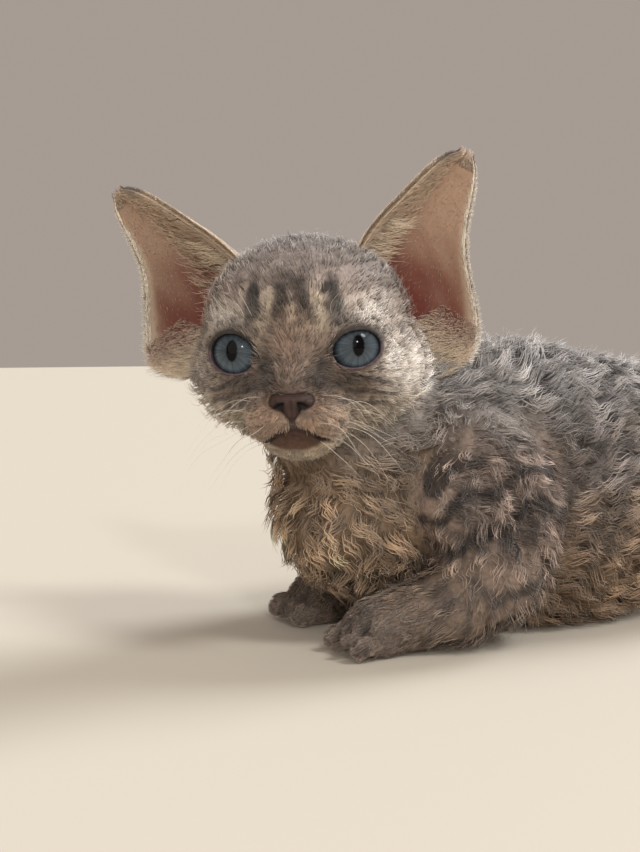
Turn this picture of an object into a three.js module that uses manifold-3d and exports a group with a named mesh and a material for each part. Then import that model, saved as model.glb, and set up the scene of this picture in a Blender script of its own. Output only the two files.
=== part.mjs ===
// A curly-coated kitten of about seven weeks, standing low on the floor with its head turned to its left.
// Working frame: millimetres, the body faces -X, its left side faces -Y, +Z is up and the floor is z = 0.
// At the end the whole model is shifted so that the origin is under the middle of its box.
import * as THREE from "three";
import { mergeVertices } from "three/addons/utils/BufferGeometryUtils.js";
import Module from "manifold-3d";

const wasm = await Module();
wasm.setup();

// Driving sizes of the whole animal.
const GAP = 0.3; // clear space between two nodes that meet
const CORE_DEPTH = 1.6; // how far the core lies under the mean surface of the curly coat
const EYE_SPACING = 25.6; // between the centres of the two eyeballs
const EYE_RADIUS = 7.3;
const EAR_LENGTH = 45; // from the sunk base to the tip
const EAR_THICKNESS = 1.7; // the ear leather with its short fur
const STANCE = 19; // a front paw's distance from the middle plane
const HIND_STANCE = 23;

const degrees = THREE.MathUtils.degToRad;
const vec = (x, y, z) => new THREE.Vector3(x, y, z);

// Signed distance shapes. Each is a function of a point (Vector3) and is negative inside.
function ellipsoid(centre, radii, turn = new THREE.Euler()) {
  const back = new THREE.Quaternion().setFromEuler(turn).invert();
  return (point) => {
    const p = point.clone().sub(centre).applyQuaternion(back);
    const k0 = Math.hypot(p.x / radii.x, p.y / radii.y, p.z / radii.z);
    const k1 = Math.hypot(p.x / radii.x ** 2, p.y / radii.y ** 2, p.z / radii.z ** 2);
    return k1 < 1e-9 ? -Math.min(radii.x, radii.y, radii.z) : (k0 * (k0 - 1)) / k1;
  };
}

function limb(from, to, fromRadius, toRadius) {
  const span = to.clone().sub(from);
  return (point) => {
    const p = point.clone().sub(from);
    const along = THREE.MathUtils.clamp(p.dot(span) / span.lengthSq(), 0, 1);
    return p.addScaledVector(span, -along).length() - THREE.MathUtils.lerp(fromRadius, toRadius, along);
  };
}

// Smooth union: shapes closer than softness flow into one another.
function blend(softness, ...shapes) {
  return (point) =>
    shapes
      .map((shape) => shape(point))
      .reduce((a, b) => {
        const near = Math.max(softness - Math.abs(a - b), 0) / softness;
        return Math.min(a, b) - (near * near * softness) / 4;
      });
}

function slopeOf(field, p) {
  const e = 0.4;
  const step = (x, y, z) => field(p.clone().add(vec(x, y, z))) - field(p.clone().sub(vec(x, y, z)));
  return vec(step(e, 0, 0), step(0, e, 0), step(0, 0, e)).normalize();
}

// Moves a point onto the surface that lies at the given height over a field.
function settle(field, point, height) {
  const p = point.clone();
  for (let i = 0; i < 3; i++) p.addScaledVector(slopeOf(field, p), height - field(p));
  return p;
}

// Distance from an inner point to a field's surface, along a ray.
function reach(field, from, direction, height) {
  const step = 1.5;
  let low = 0;
  let high = step;
  const value = (t) => field(from.clone().addScaledVector(direction, t)) - height;
  while (value(high) < 0 && high < 150) {
    low = high;
    high += step;
  }
  for (let i = 0; i < 14; i++) {
    const middle = (low + high) / 2;
    if (value(middle) < 0) low = middle;
    else high = middle;
  }
  return (low + high) / 2;
}

// One closed mesh from rings of points, with a single point at each end.
function skinOf(startPoint, rings, endPoint) {
  const sides = rings[0].length;
  const points = [startPoint, ...rings.flat(), endPoint];
  const faces = [];
  const at = (ring, side) => 1 + ring * sides + (side % sides);
  for (let s = 0; s < sides; s++) {
    faces.push(0, at(0, s + 1), at(0, s));
    for (let r = 0; r + 1 < rings.length; r++) {
      faces.push(at(r, s), at(r, s + 1), at(r + 1, s + 1), at(r, s), at(r + 1, s + 1), at(r + 1, s));
    }
    faces.push(points.length - 1, at(rings.length - 1, s), at(rings.length - 1, s + 1));
  }
  const geometry = new THREE.BufferGeometry();
  geometry.setAttribute("position", new THREE.Float32BufferAttribute(points.flatMap((p) => p.toArray()), 3));
  geometry.setIndex(faces);
  return geometry;
}

// Wraps a field in rings of rays. A station is {at, along, tilt}: tilt turns the rays from square to the
// spine towards its direction, so that the two ends close in a dome.
function wrap(field, stations, sides, height = 0) {
  const cast = (at, direction) => at.clone().addScaledVector(direction, reach(field, at, direction, height));
  const rings = stations.map(({ at, along, tilt }) => {
    const up = Math.abs(along.z) > 0.9 ? vec(1, 0, 0) : vec(0, 0, 1);
    const side = new THREE.Vector3().crossVectors(up, along).normalize();
    const top = new THREE.Vector3().crossVectors(along, side);
    return Array.from({ length: sides }, (_, i) => {
      const angle = (2 * Math.PI * (i + 0.5)) / sides;
      const direction = side
        .clone()
        .multiplyScalar(Math.cos(angle) * Math.cos(tilt))
        .addScaledVector(top, Math.sin(angle) * Math.cos(tilt))
        .addScaledVector(along, Math.sin(tilt));
      return cast(at, direction);
    });
  });
  const first = stations[0];
  const last = stations.at(-1);
  return skinOf(cast(first.at, first.along.clone().negate()), rings, cast(last.at, last.along));
}

// Stations along a path, with domed ends.
function alongPath(points, count, endTilts = [65, 35]) {
  const curve = new THREE.CatmullRomCurve3(points);
  const stations = [];
  const place = (t, tilt) =>
    stations.push({ at: curve.getPointAt(t), along: curve.getTangentAt(t), tilt: degrees(tilt) });
  for (const tilt of endTilts) place(0, -tilt);
  for (let i = 0; i < count; i++) place(i / (count - 1), 0);
  for (const tilt of [...endTilts].reverse()) place(1, tilt);
  return stations;
}

// Stations round one centre, at the given tilts from the back pole to the front one.
function roundCentre(at, along, tilts) {
  return tilts.map((tilt) => ({ at, along: along.clone().normalize(), tilt: degrees(tilt) }));
}

// Booleans.
function solid(geometry) {
  const bare = geometry.index ? geometry.toNonIndexed() : geometry.clone();
  bare.deleteAttribute("normal");
  bare.deleteAttribute("uv");
  const merged = mergeVertices(bare, 1e-3);
  return new wasm.Manifold(
    new wasm.Mesh({
      numProp: 3,
      vertProperties: new Float32Array(merged.attributes.position.array),
      triVerts: new Uint32Array(merged.index.array),
    }),
  );
}
const join = (...solids) => solids.reduce((a, b) => a.add(b));
const cut = (whole, ...cutters) => cutters.reduce((a, b) => a.subtract(b), whole);
const largest = (made) => made.decompose().reduce((a, b) => (b.volume() > a.volume() ? b : a));

function geometryOf(made) {
  const mesh = made.getMesh();
  const geometry = new THREE.BufferGeometry();
  geometry.setAttribute("position", new THREE.Float32BufferAttribute(mesh.vertProperties, 3));
  geometry.setIndex(new THREE.Uint32BufferAttribute(mesh.triVerts, 1));
  const flat = geometry.toNonIndexed();
  flat.computeVertexNormals();
  return flat;
}

function boxSolid(low, high) {
  const size = high.clone().sub(low);
  const box = new THREE.BoxGeometry(size.x, size.y, size.z);
  return solid(box.translate((low.x + high.x) / 2, (low.y + high.y) / 2, (low.z + high.z) / 2));
}
const UNDER_FLOOR = boxSolid(vec(-300, -300, -100), vec(400, 300, 0));

function ball(centre, radii, widthSegments = 12, heightSegments = 8, turn = new THREE.Euler()) {
  const sphere = new THREE.SphereGeometry(1, widthSegments, heightSegments).scale(radii.x, radii.y, radii.z);
  sphere.applyQuaternion(new THREE.Quaternion().setFromEuler(turn));
  return solid(sphere.translate(centre.x, centre.y, centre.z));
}

// Materials, one for each finish.
const material = (color, roughness) => new THREE.MeshStandardMaterial({ color, roughness, metalness: 0 });
const COAT = material(0x83776c, 0.9);
const FACE = material(0x957b63, 0.9);
const EAR = material(0xa97f6b, 0.8);
const NOSE = material(0x4c342e, 0.5);
const EYE = material(0x5d7688, 0.1);

const kitten = new THREE.Group();
function addNode(name, made, finish) {
  const mesh = new THREE.Mesh(geometryOf(largest(made)), finish);
  mesh.name = name;
  kitten.add(mesh);
  return mesh;
}

// The torso: rib cage, brisket, withers, belly, loin and rump.
const torsoShape = blend(
  14,
  ellipsoid(vec(-4, 0, 37), vec(46, 26, 28)),
  ellipsoid(vec(-37, 0, 32), vec(25, 20.5, 21)),
  ellipsoid(vec(-1, 0, 51), vec(30, 19, 19.5)),
  ellipsoid(vec(17, 0, 29), vec(34, 25, 26.5)),
  ellipsoid(vec(18, 12, 17), vec(28, 13, 15.5)),
  ellipsoid(vec(18, -12, 17), vec(28, 13, 15.5)),
  ellipsoid(vec(38, 0, 34), vec(34, 25, 26)),
  limb(vec(10, 0, 49), vec(70, 0, 43), 20, 20),
  ellipsoid(vec(74, 0, 38), vec(27, 25, 25)),
);
const TORSO_SPINE = [vec(-40, 0, 32), vec(-20, 0, 37), vec(10, 0, 39), vec(42, 0, 36), vec(76, 0, 37)];
const TORSO_SPLIT = 24; // where the chest node ends and the abdomen node begins
const torsoSolid = (height) => solid(wrap(torsoShape, alongPath(TORSO_SPINE, 12, [66, 40]), 18, height));
const torsoCore = torsoSolid(-CORE_DEPTH);
const torsoClear = torsoSolid(-CORE_DEPTH + GAP);

// The head's own frame: x forward along the face, y to the kitten's left, z up, centred between the ears.
const HEAD_CENTRE = vec(-56, -2.5, 71.6);
const HEAD_YAW = -35; // the face's direction, turned from -Y side -X
const HEAD_PITCH = -2;
const HEAD_ROLL = 2.5;
const headTurn = new THREE.Quaternion()
  .setFromAxisAngle(vec(0, 0, 1), degrees(HEAD_YAW - 90))
  .multiply(new THREE.Quaternion().setFromAxisAngle(vec(0, 1, 0), degrees(-HEAD_PITCH)))
  .multiply(new THREE.Quaternion().setFromAxisAngle(vec(1, 0, 0), degrees(HEAD_ROLL)));
const headMatrix = new THREE.Matrix4().compose(HEAD_CENTRE, headTurn, vec(1, 1, 1));
const headMatrixBack = headMatrix.clone().invert();
const toHead = (point) => point.clone().applyMatrix4(headMatrixBack);
const fromHead = (point) => point.clone().applyMatrix4(headMatrix);

const EYE_FORWARD = 12.6;
const eyeCentre = (side) => vec(EYE_FORWARD, (side * EYE_SPACING) / 2, 0);
const EYE_OUTWARD = 13; // how far each eye's axis turns out from the face's, in degrees
const eyeAxis = (side) =>
  vec(Math.cos(degrees(EYE_OUTWARD)), side * Math.sin(degrees(EYE_OUTWARD)), 0.02).normalize();
const LID_COVER = 1.7; // lid thickness over the eyeball

const headShape = blend(
  5,
  ellipsoid(vec(-6, 0, 7), vec(27, 25, 20.5)),
  ellipsoid(vec(6, 0, 3.5), vec(14.5, 20, 14.5)),
  ellipsoid(vec(-1, 15.5, -4.5), vec(17, 14, 13)),
  ellipsoid(vec(-1, -14.5, -4.5), vec(17, 13.5, 12.5)),
  limb(vec(6, 10, -13), vec(-6, 14, -9), 8, 10),
  limb(vec(6, -10, -13), vec(-6, -14, -9), 8, 10),
  limb(vec(10, 0, 1), vec(23.5, 0, -7.5), 8.5, 5),
  ellipsoid(vec(16.5, 0, -13), vec(11.5, 11, 8)),
  ellipsoid(vec(19.5, 5, -14.5), vec(8.2, 6.6, 5.6)),
  ellipsoid(vec(19.5, -5, -14.5), vec(8.2, 6.6, 5.6)),
  ellipsoid(vec(15.5, 0, -20), vec(8.2, 8, 4.8)),
  limb(vec(9, 0, -15), vec(-12, 0, -8), 9.5, 15),
  ellipsoid(eyeCentre(1), vec(1, 1, 1).multiplyScalar(EYE_RADIUS + LID_COVER)),
  ellipsoid(eyeCentre(-1), vec(1, 1, 1).multiplyScalar(EYE_RADIUS + LID_COVER)),
);
const headField = (point) => headShape(toHead(point));

// The almond outline between the lids, seen along the eye's axis: inner corner low, outer corner high.
const LID_WIDTH = 10.8;
const LID_RISE = 4.9;
const LID_DROP = 4.2;
const LID_SLANT = 9; // degrees that the outer corner lies above the inner one
function lidPoint(side, angle) {
  const across = (Math.cos(angle) * LID_WIDTH) / 2;
  const lift = Math.sin(angle);
  const height = lift > 0 ? LID_RISE * lift ** 0.9 : -LID_DROP * (-lift) ** 0.9;
  const slant = degrees(LID_SLANT);
  const out = across * Math.cos(slant) - height * Math.sin(slant);
  return { out: side * out, rise: across * Math.sin(slant) + height * Math.cos(slant) };
}
function eyeFrame(side) {
  const forward = eyeAxis(side);
  const left = new THREE.Vector3().crossVectors(vec(0, 0, 1), forward).normalize();
  const up = new THREE.Vector3().crossVectors(forward, left);
  return new THREE.Matrix4().makeBasis(forward, left, up).setPosition(eyeCentre(side));
}

function lidOpening(side) {
  const shape = new THREE.Shape(
    Array.from({ length: 24 }, (_, i) => {
      const { out, rise } = lidPoint(side, (2 * Math.PI * i) / 24);
      return new THREE.Vector2(out, rise);
    }),
  );
  const prism = new THREE.ExtrudeGeometry(shape, { depth: 16, bevelEnabled: false });
  // The extrusion's own x, y and z become left, up and forward.
  prism.applyMatrix4(new THREE.Matrix4().makeBasis(vec(0, 1, 0), vec(0, 0, 1), vec(1, 0, 0)));
  return solid(prism.applyMatrix4(eyeFrame(side)).applyMatrix4(headMatrix));
}

const LID_RIM = 0.75;
class LidCurve extends THREE.Curve {
  constructor(side) {
    super();
    this.side = side;
  }
  getPoint(t, target = new THREE.Vector3()) {
    const { out, rise } = lidPoint(this.side, 2 * Math.PI * t);
    const shell = EYE_RADIUS + GAP + LID_RIM + 0.15;
    const wide = 1.06;
    const forward = Math.sqrt(Math.max(shell ** 2 - (out * wide) ** 2 - (rise * wide) ** 2, 0));
    return target.set(forward, out * wide, rise * wide);
  }
}
function lidRim(side) {
  const tube = new THREE.TubeGeometry(new LidCurve(side), 22, LID_RIM, 5, true);
  return solid(tube.applyMatrix4(eyeFrame(side)).applyMatrix4(headMatrix));
}

// A point of the face at a given left and up, found along the face's own direction.
function onFace(left, up, sink = 0) {
  const from = vec(4, left, up);
  const t = reach(headShape, from, vec(1, 0, 0), 0);
  return vec(4 + t - sink, left, up);
}

// The line of the mouth under the nose: a short upright groove, then an arc down to each corner.
const MOUTH_TOP = -16.6;
const MOUTH_HALF = 7.2;
const MOUTH_DROP = 3.2;
const GROOVE = 0.7;
function grooveAlong(points, steps, radius) {
  const circle = new THREE.Shape(
    Array.from({ length: 6 }, (_, i) => {
      const angle = (2 * Math.PI * i) / 6;
      return new THREE.Vector2(Math.cos(angle) * radius, Math.sin(angle) * radius);
    }),
  );
  const path = new THREE.CatmullRomCurve3(points);
  return solid(new THREE.ExtrudeGeometry(circle, { extrudePath: path, steps, bevelEnabled: false }).applyMatrix4(headMatrix));
}
function mouthGrooves() {
  const arc = Array.from({ length: 9 }, (_, i) => {
    const across = i / 4 - 1;
    return onFace(across * MOUTH_HALF, MOUTH_TOP - MOUTH_DROP * Math.abs(across) ** 1.5, 0.1);
  });
  const upright = [-13.4, -15, MOUTH_TOP].map((up) => onFace(0, up, -0.1));
  return [grooveAlong(arc, 16, GROOVE), grooveAlong(upright, 4, GROOVE * 0.7)];
}

// The nose leather, with its two nostrils.
const NOSE_CENTRE = vec(26.4, 0, -10.7);
const noseShape = blend(
  2.5,
  ellipsoid(NOSE_CENTRE.clone().add(vec(0, 0, 0.6)), vec(3, 4.6, 2.6)),
  ellipsoid(NOSE_CENTRE.clone().add(vec(-0.6, 3.1, -0.3)), vec(2.4, 1.9, 1.9)),
  ellipsoid(NOSE_CENTRE.clone().add(vec(-0.6, -3.1, -0.3)), vec(2.4, 1.9, 1.9)),
  ellipsoid(NOSE_CENTRE.clone().add(vec(0, 0, -2.3)), vec(2.3, 1.7, 2.2)),
);
const noseSolid = (height) =>
  solid(
    wrap(noseShape, roundCentre(NOSE_CENTRE, vec(1, 0, 0), [-50, -10, 20, 42, 64]), 14, height).applyMatrix4(
      headMatrix,
    ),
  );
function nostril(side) {
  const hole = new THREE.SphereGeometry(1, 10, 6).scale(2.4, 0.75, 1.25);
  hole.rotateX(degrees(side * 52)).rotateZ(degrees(side * 18));
  hole.translate(NOSE_CENTRE.x + 2.4, side * 2.5, NOSE_CENTRE.z - 0.9);
  return solid(hole.applyMatrix4(headMatrix));
}

const FACE_AXIS = vec(28, 0, -9);
const HEAD_TILTS = [-72, -50, -28, -8, 7, 17, 25, 32, 39, 46, 52, 58, 64, 71, 80];
const headSolid = (height) =>
  solid(wrap(headShape, roundCentre(vec(-1, 0, -3), FACE_AXIS, HEAD_TILTS), 34, height).applyMatrix4(headMatrix));
const headClear = headSolid(GAP);

function eyeball(side, grow = 0) {
  const centre = fromHead(eyeCentre(side));
  const size = EYE_RADIUS + grow;
  const globe = new THREE.SphereGeometry(size, 14, 9).rotateX(Math.PI / 2);
  return solid(globe.translate(centre.x, centre.y, centre.z));
}

function buildHead() {
  const rimmed = join(headSolid(0), lidRim(1), lidRim(-1));
  const openings = [1, -1].flatMap((side) => [eyeball(side, GAP), lidOpening(side)]);
  return cut(rimmed, ...openings, ...mouthGrooves(), noseSolid(GAP));
}

// An ear: a leather shell curved across like a scoop, wide at its base, with a round tip. The outer edge
// bulges near the base, where the real ear folds into a small pocket.
const EAR_PROFILE = [
  // share of the length, half width, depth of the scoop
  [0, 12.6, 14],
  [0.14, 14, 13],
  [0.3, 13.4, 11],
  [0.46, 11.8, 8.6],
  [0.62, 9.4, 6.4],
  [0.76, 7.6, 4.4],
  [0.88, 5.8, 2.9],
  [0.96, 3.8, 1.6],
];
const EAR_TIP_OUT = 3.6; // how far the tip leans outwards of the middle line
function earSolid(side, { lean, back, open, length, pocket, slant }) {
  const across = 10;
  const rootPoint = vec(-6, side * 18, 4);
  const axis = vec(
    -Math.sin(degrees(back)),
    side * Math.sin(degrees(lean)) * Math.cos(degrees(back)),
    Math.cos(degrees(lean)) * Math.cos(degrees(back)),
  ).normalize();
  const facing = vec(Math.cos(degrees(open)), side * Math.sin(degrees(open)), 0);
  facing.addScaledVector(axis, -facing.dot(axis)).normalize();
  const lateral = new THREE.Vector3().crossVectors(axis, facing).multiplyScalar(side).normalize();
  // Points across the shell at one share of the length; inner is the cup's side.
  const row = ([share, half, depth], inner) => {
    const thick = inner ? EAR_THICKNESS * (1 - 0.45 * share) : 0;
    const width = half - thick * 0.6;
    const scoop = Math.max(depth - thick, 0.25);
    const angle = 2 * Math.atan(scoop / width);
    const radius = width / Math.sin(angle);
    const bow = -3.5 * Math.sin(Math.PI * share);
    const middle = rootPoint
      .clone()
      .addScaledVector(lateral, EAR_TIP_OUT * share ** 0.6)
      .addScaledVector(axis, share * length)
      .addScaledVector(facing, bow + (inner ? thick * 0.3 : 0));
    return Array.from({ length: across + 1 }, (_, i) => {
      const turn = angle * ((2 * i) / across - 1);
      const bulge = turn > 0 ? pocket * Math.exp(-(((share - 0.24) / 0.28) ** 2)) * (turn / angle) : 0;
      return middle
        .clone()
        .addScaledVector(lateral, radius * Math.sin(turn) + bulge)
        .addScaledVector(axis, -slant * (1 - share) * (turn / angle))
        .addScaledVector(facing, radius * (Math.cos(angle) - Math.cos(turn)));
    });
  };
  const rings = EAR_PROFILE.map((entry) => {
    const outer = row(entry, false);
    const inner = row(entry, true).reverse();
    return side > 0 ? [...outer, ...inner].reverse() : [...outer, ...inner];
  });
  const tip = rootPoint
    .clone()
    .addScaledVector(axis, length)
    .addScaledVector(lateral, EAR_TIP_OUT)
    .addScaledVector(facing, -0.6);
  const foot = rootPoint.clone().addScaledVector(axis, -4).addScaledVector(facing, -7);
  return solid(skinOf(foot, rings, tip).applyMatrix4(headMatrix));
}
// The pocket is how far the fold low on the outer edge stands out, and the slant how much lower the outer side
// of the base starts than its middle.
const EAR_LEFT = { lean: 24, back: 4, open: 24, length: EAR_LENGTH * 1.03, pocket: 10, slant: 7 };
const EAR_RIGHT = { lean: 34, back: 4, open: 28, length: EAR_LENGTH * 1.03, pocket: 12, slant: 1 };

// The neck, from between the shoulders up to the back of the head.
const NECK_FOOT = vec(-23, 0, 48);
const NECK_TOP = vec(-46, 2, 62);
const neckShape = blend(
  8,
  limb(NECK_FOOT, NECK_TOP, 21.5, 18),
  limb(vec(-38, 0, 38), vec(-53, 0, 53), 18, 13.5),
);
const neckSolid = (height) => solid(wrap(neckShape, alongPath([NECK_FOOT, NECK_TOP], 4, [60, 30]), 18, height));

// Legs. Every point is for the kitten's left side (-Y); the right one is its mirror.
const onSide = (side, p) => vec(p.x, side > 0 ? p.y : -p.y, p.z);
const FRONT = {
  shoulder: vec(-25, -21, 35),
  elbow: vec(-17, -27, 17.5),
  wrist: vec(-37, -20.5, 8.4),
};
const HIND = {
  hip: vec(76, -15, 40),
  knee: vec(51, -25, 25),
  hock: vec(88, -22.5, 13),
  ankle: vec(72, -23, 8.5),
};
const RIGHT_PAW_BACK = 4; // the right front paw stands this much further back
const pawShift = (side) => vec(side > 0 ? 0 : RIGHT_PAW_BACK, 0, 0);
function armShape(side) {
  const at = (p) => onSide(side, p);
  return blend(
    8,
    ellipsoid(at(vec(-13, -20, 38)), vec(17, 12, 21), new THREE.Euler(0, degrees(-10), 0)),
    limb(at(FRONT.shoulder), at(FRONT.elbow), 12.5, 11.2),
    limb(at(vec(-9, -22, 35)), at(FRONT.elbow), 11, 10.4),
  );
}
const forearmMiddle = (side) => onSide(side, vec(-27, -24, 11)).add(pawShift(side).multiplyScalar(0.5));
function forearmShape(side) {
  const elbow = onSide(side, FRONT.elbow);
  const middle = forearmMiddle(side);
  const wrist = onSide(side, FRONT.wrist).add(pawShift(side));
  return blend(5, limb(elbow, middle, 9, 9.4), limb(middle, wrist, 9.4, 7.4));
}
function thighShape(side) {
  const at = (p) => onSide(side, p);
  return blend(
    9,
    ellipsoid(at(vec(70, -17, 34)), vec(25, 12, 22), new THREE.Euler(0, degrees(20), 0)),
    limb(at(HIND.hip), at(HIND.knee), 15, 11.5),
  );
}
function shankShape(side) {
  const at = (p) => onSide(side, p);
  return blend(5, limb(at(HIND.knee), at(HIND.hock), 10, 6), limb(at(HIND.hock), at(HIND.ankle), 6, 6.4));
}
const TOES = [
  { across: -5.9, ahead: -1.6, size: 0.92 },
  { across: -2.1, ahead: 0, size: 1 },
  { across: 2.1, ahead: 0, size: 1 },
  { across: 5.9, ahead: -1.6, size: 0.92 },
];
function pawSolid(from, centre, sizes) {
  const body = solid(
    wrap(
      blend(3, limb(from, centre.clone().setZ(from.z * 0.8), sizes.heel, sizes.top), ellipsoid(centre, sizes.body)),
      alongPath([from, centre], 4, [50]),
      12,
    ),
  );
  const toes = TOES.map(({ across, ahead, size }) =>
    ball(
      centre.clone().add(vec(-sizes.toeReach - ahead, across * sizes.spread, 0).setZ(-centre.z + 4.1 * size)),
      vec(5 * size, 2.75 * size, 4.5 * size),
      8,
      6,
    ),
  );
  return cut(join(body, ...toes), UNDER_FLOOR);
}
const FRONT_PAW = { heel: 7.4, top: 6.6, body: vec(9.5, 8.2, 7), toeReach: 7.2, spread: 1 };
const HIND_PAW = { heel: 6, top: 5.6, body: vec(10.5, 7.6, 6.4), toeReach: 8.4, spread: 0.94 };
const FRONT_PAW_MIDDLE = vec(-47, -STANCE, 5.2);
const HIND_PAW_MIDDLE = vec(62, -HIND_STANCE, 4.8);

// The tail, thin and tapered, lowered behind the body and laid along the floor in three lengths.
const TAIL_PATH = [
  vec(92, 0, 47),
  vec(106, 1, 38),
  vec(118, 4, 22),
  vec(132, 8, 8.5),
  vec(150, 8, 4.2),
  vec(168, 1, 3.9),
  vec(182, -12, 3.6),
  vec(190, -27, 3.3),
];
const TAIL_ROOT = 8;
const TAIL_END = 3.1;
const TAIL_SPLITS = [126, 160];
function tailShape() {
  const curve = new THREE.CatmullRomCurve3(TAIL_PATH);
  const pieces = 16;
  const size = (t) => TAIL_END + (TAIL_ROOT - TAIL_END) * (1 - t) ** 1.7;
  return blend(
    1.5,
    ...Array.from({ length: pieces }, (_, i) => {
      const a = i / pieces;
      const b = (i + 1) / pieces;
      return limb(curve.getPointAt(a), curve.getPointAt(b), size(a), size(b));
    }),
  );
}
const tailField = tailShape();

// The curly coat, as rounded clumps set close. A lock is a tapered ridge that rises from the core, lies along
// the coat, sways from side to side and sinks back into the core at its tip.
const LOCK_LENGTH = 16;
const LOCK_HALF_WIDTH = 5.5;
const LOCK_SPACING = 8; // between two roots that lie side by side
const LOCK_STAGGER = 1.45; // how much further apart they are one behind the other
const LOCK_SWAY = 22; // degrees
const WAVE_LENGTH = 30; // neighbours within it sway together
const LOCK_ROOT = -3.4; // heights are over the mean surface of the coat
const LOCK_EDGE = -2.6;
const LOCK_TIP = -2.3;
const LOCK_TOP = 1.8;
const LOCK_OFF = 0.5; // clear space between a lock and what another node fills
const LOCK_VOLUME = 190; // a lock of less is creased, because it turns sharply round the body
const LOCK_RINGS = [
  // share of the length, share of the width, height of the top
  [0.3, 1, 1.2],
  [0.76, 0.8, LOCK_TOP],
];

function seeded(seed) {
  let state = seed;
  return () => {
    state = (state * 1664525 + 1013904223) % 4294967296;
    return state / 4294967296;
  };
}

// The line of a lock on the surface: a point, the direction along it and the one off the body at each share.
function lockLine(field, root, lie, phase, size) {
  const shares = [0, ...LOCK_RINGS.map(([share]) => share), 1];
  let at = root.clone();
  return shares.map((share, i) => {
    const off = slopeOf(field, at);
    const along = lie(at).projectOnPlane(off).normalize();
    along.applyAxisAngle(off, degrees(LOCK_SWAY) * Math.sin(phase + 4 * share));
    const here = { at, along, off };
    const step = ((shares[i + 1] ?? 1) - share) * LOCK_LENGTH * size;
    at = settle(field, at.clone().addScaledVector(along, step), 0);
    return here;
  });
}

// The corners of a lock's rings: two in the core and two on top.
function lockRings(line, size, grow = 0) {
  return LOCK_RINGS.map(([, share, top], i) => {
    const { at, along, off } = line[i + 1];
    const across = new THREE.Vector3().crossVectors(off, along);
    const half = share * LOCK_HALF_WIDTH * size;
    const section = [
      [half + grow, LOCK_EDGE - grow],
      [half * 0.45 + grow, top + grow],
      [-half * 0.45 - grow, top + grow],
      [-half - grow, LOCK_EDGE - grow],
    ];
    return section.map(([out, height]) => at.clone().addScaledVector(across, out).addScaledVector(off, height));
  });
}

function lockSolid(line, size, grow = 0) {
  const end = ({ at, off, along }, height, out) =>
    at.clone().addScaledVector(off, height).addScaledVector(along, out * grow);
  const root = end(line[0], LOCK_ROOT - grow, -1);
  return solid(skinOf(root, lockRings(line, size, grow), end(line.at(-1), LOCK_TIP, 3)));
}

// Locks over a field. Their roots are found along rays from the centres, and keep tells where one may lie.
function growLocks({ field, centres, lie, keep, size = 1, seed }) {
  const random = seeded(seed);
  const lines = [];
  for (let tries = 0; tries < 1200; tries++) {
    const from = centres[Math.floor(random() * centres.length)];
    const direction = vec(random() - 0.5, random() - 0.5, random() - 0.5).normalize();
    const root = from.clone().addScaledVector(direction, reach(field, from, direction, 0));
    const phase = (2 * Math.PI * (root.x + root.y + root.z)) / WAVE_LENGTH + random();
    const along = lie(root).normalize();
    const tooNear = lines.some((line) => {
      const apart = line[0].at.clone().sub(root);
      const behind = apart.dot(along);
      const beside = Math.sqrt(Math.max(apart.lengthSq() - behind ** 2, 0));
      return Math.hypot(behind / LOCK_STAGGER, beside) < LOCK_SPACING * size;
    });
    if (tooNear || !keep(root)) continue;
    const line = lockLine(field, root, lie, phase, size);
    const seen = [...line.map(({ at }) => at), ...lockRings(line, size).flatMap((ring) => ring.slice(1, 3))];
    const edges = lockRings(line, size).flatMap((ring) => [ring[0], ring[3]].map((p) => settle(field, p, 0)));
    if ([...seen, ...edges].every(keep)) lines.push(line);
  }
  const whole = lines.filter((line) => lockSolid(line, size).volume() > LOCK_VOLUME * size ** 2);
  return (grow) => whole.map((line) => lockSolid(line, size, grow));
}

const LOCK_FLOOR = 1.5; // no lock comes nearer to the floor
const SIDES = [[1, "left"], [-1, "right"]];
const clearOf = (p, margin, ...shapes) => shapes.every((shape) => shape(p) > margin);
const LEG_TILTS = [-60, -32, -6, 20, 44, 68];
const earRoot = (side) => ellipsoid(fromHead(vec(-7, side * 21, 1)), vec(17, 17, 17));
const earRoots = [earRoot(1), earRoot(-1)];

// A lock keeps off the plain nodes, and further off the ones that carry locks of their own.
const keepOff = (coated, plain) => (p) =>
  p.z > LOCK_FLOOR && clearOf(p, LOCK_TOP + LOCK_OFF, ...coated) && clearOf(p, LOCK_OFF, ...plain);

const neckCore = (height) => neckSolid(-CORE_DEPTH + height);
const neckClear = neckCore(GAP);
const bodyClear = join(torsoClear, neckClear);

// The upper length of a leg, which is broad, lies against the trunk and carries locks.
function upperLeg({ field, middle, towards, lower, size, lie, seed }) {
  const stations = roundCentre(middle, towards.clone().sub(middle), LEG_TILTS);
  const core = (height) => solid(wrap(field, stations, 14, height - CORE_DEPTH));
  const keep = keepOff([torsoShape, neckShape, lower], [headField]);
  const locks = growLocks({ field, centres: [middle, towards], lie: () => lie.clone(), keep, size, seed });
  const made = cut(join(core(0), ...locks(0)), bodyClear, headClear);
  return { made, clear: join(core(GAP), ...locks(GAP)) };
}

const arms = SIDES.map(([side]) =>
  upperLeg({
    field: armShape(side),
    middle: onSide(side, vec(-13, -20, 34)),
    towards: onSide(side, FRONT.elbow),
    lower: forearmShape(side),
    size: 1,
    lie: vec(0.4, 0, -1),
    seed: 11 + side,
  }),
);
const thighs = SIDES.map(([side]) =>
  upperLeg({
    field: thighShape(side),
    middle: onSide(side, vec(68, -17, 33)),
    towards: onSide(side, HIND.knee),
    lower: shankShape(side),
    size: 1.1,
    lie: vec(0.55, 0, -1),
    seed: 23 + side,
  }),
);

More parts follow.
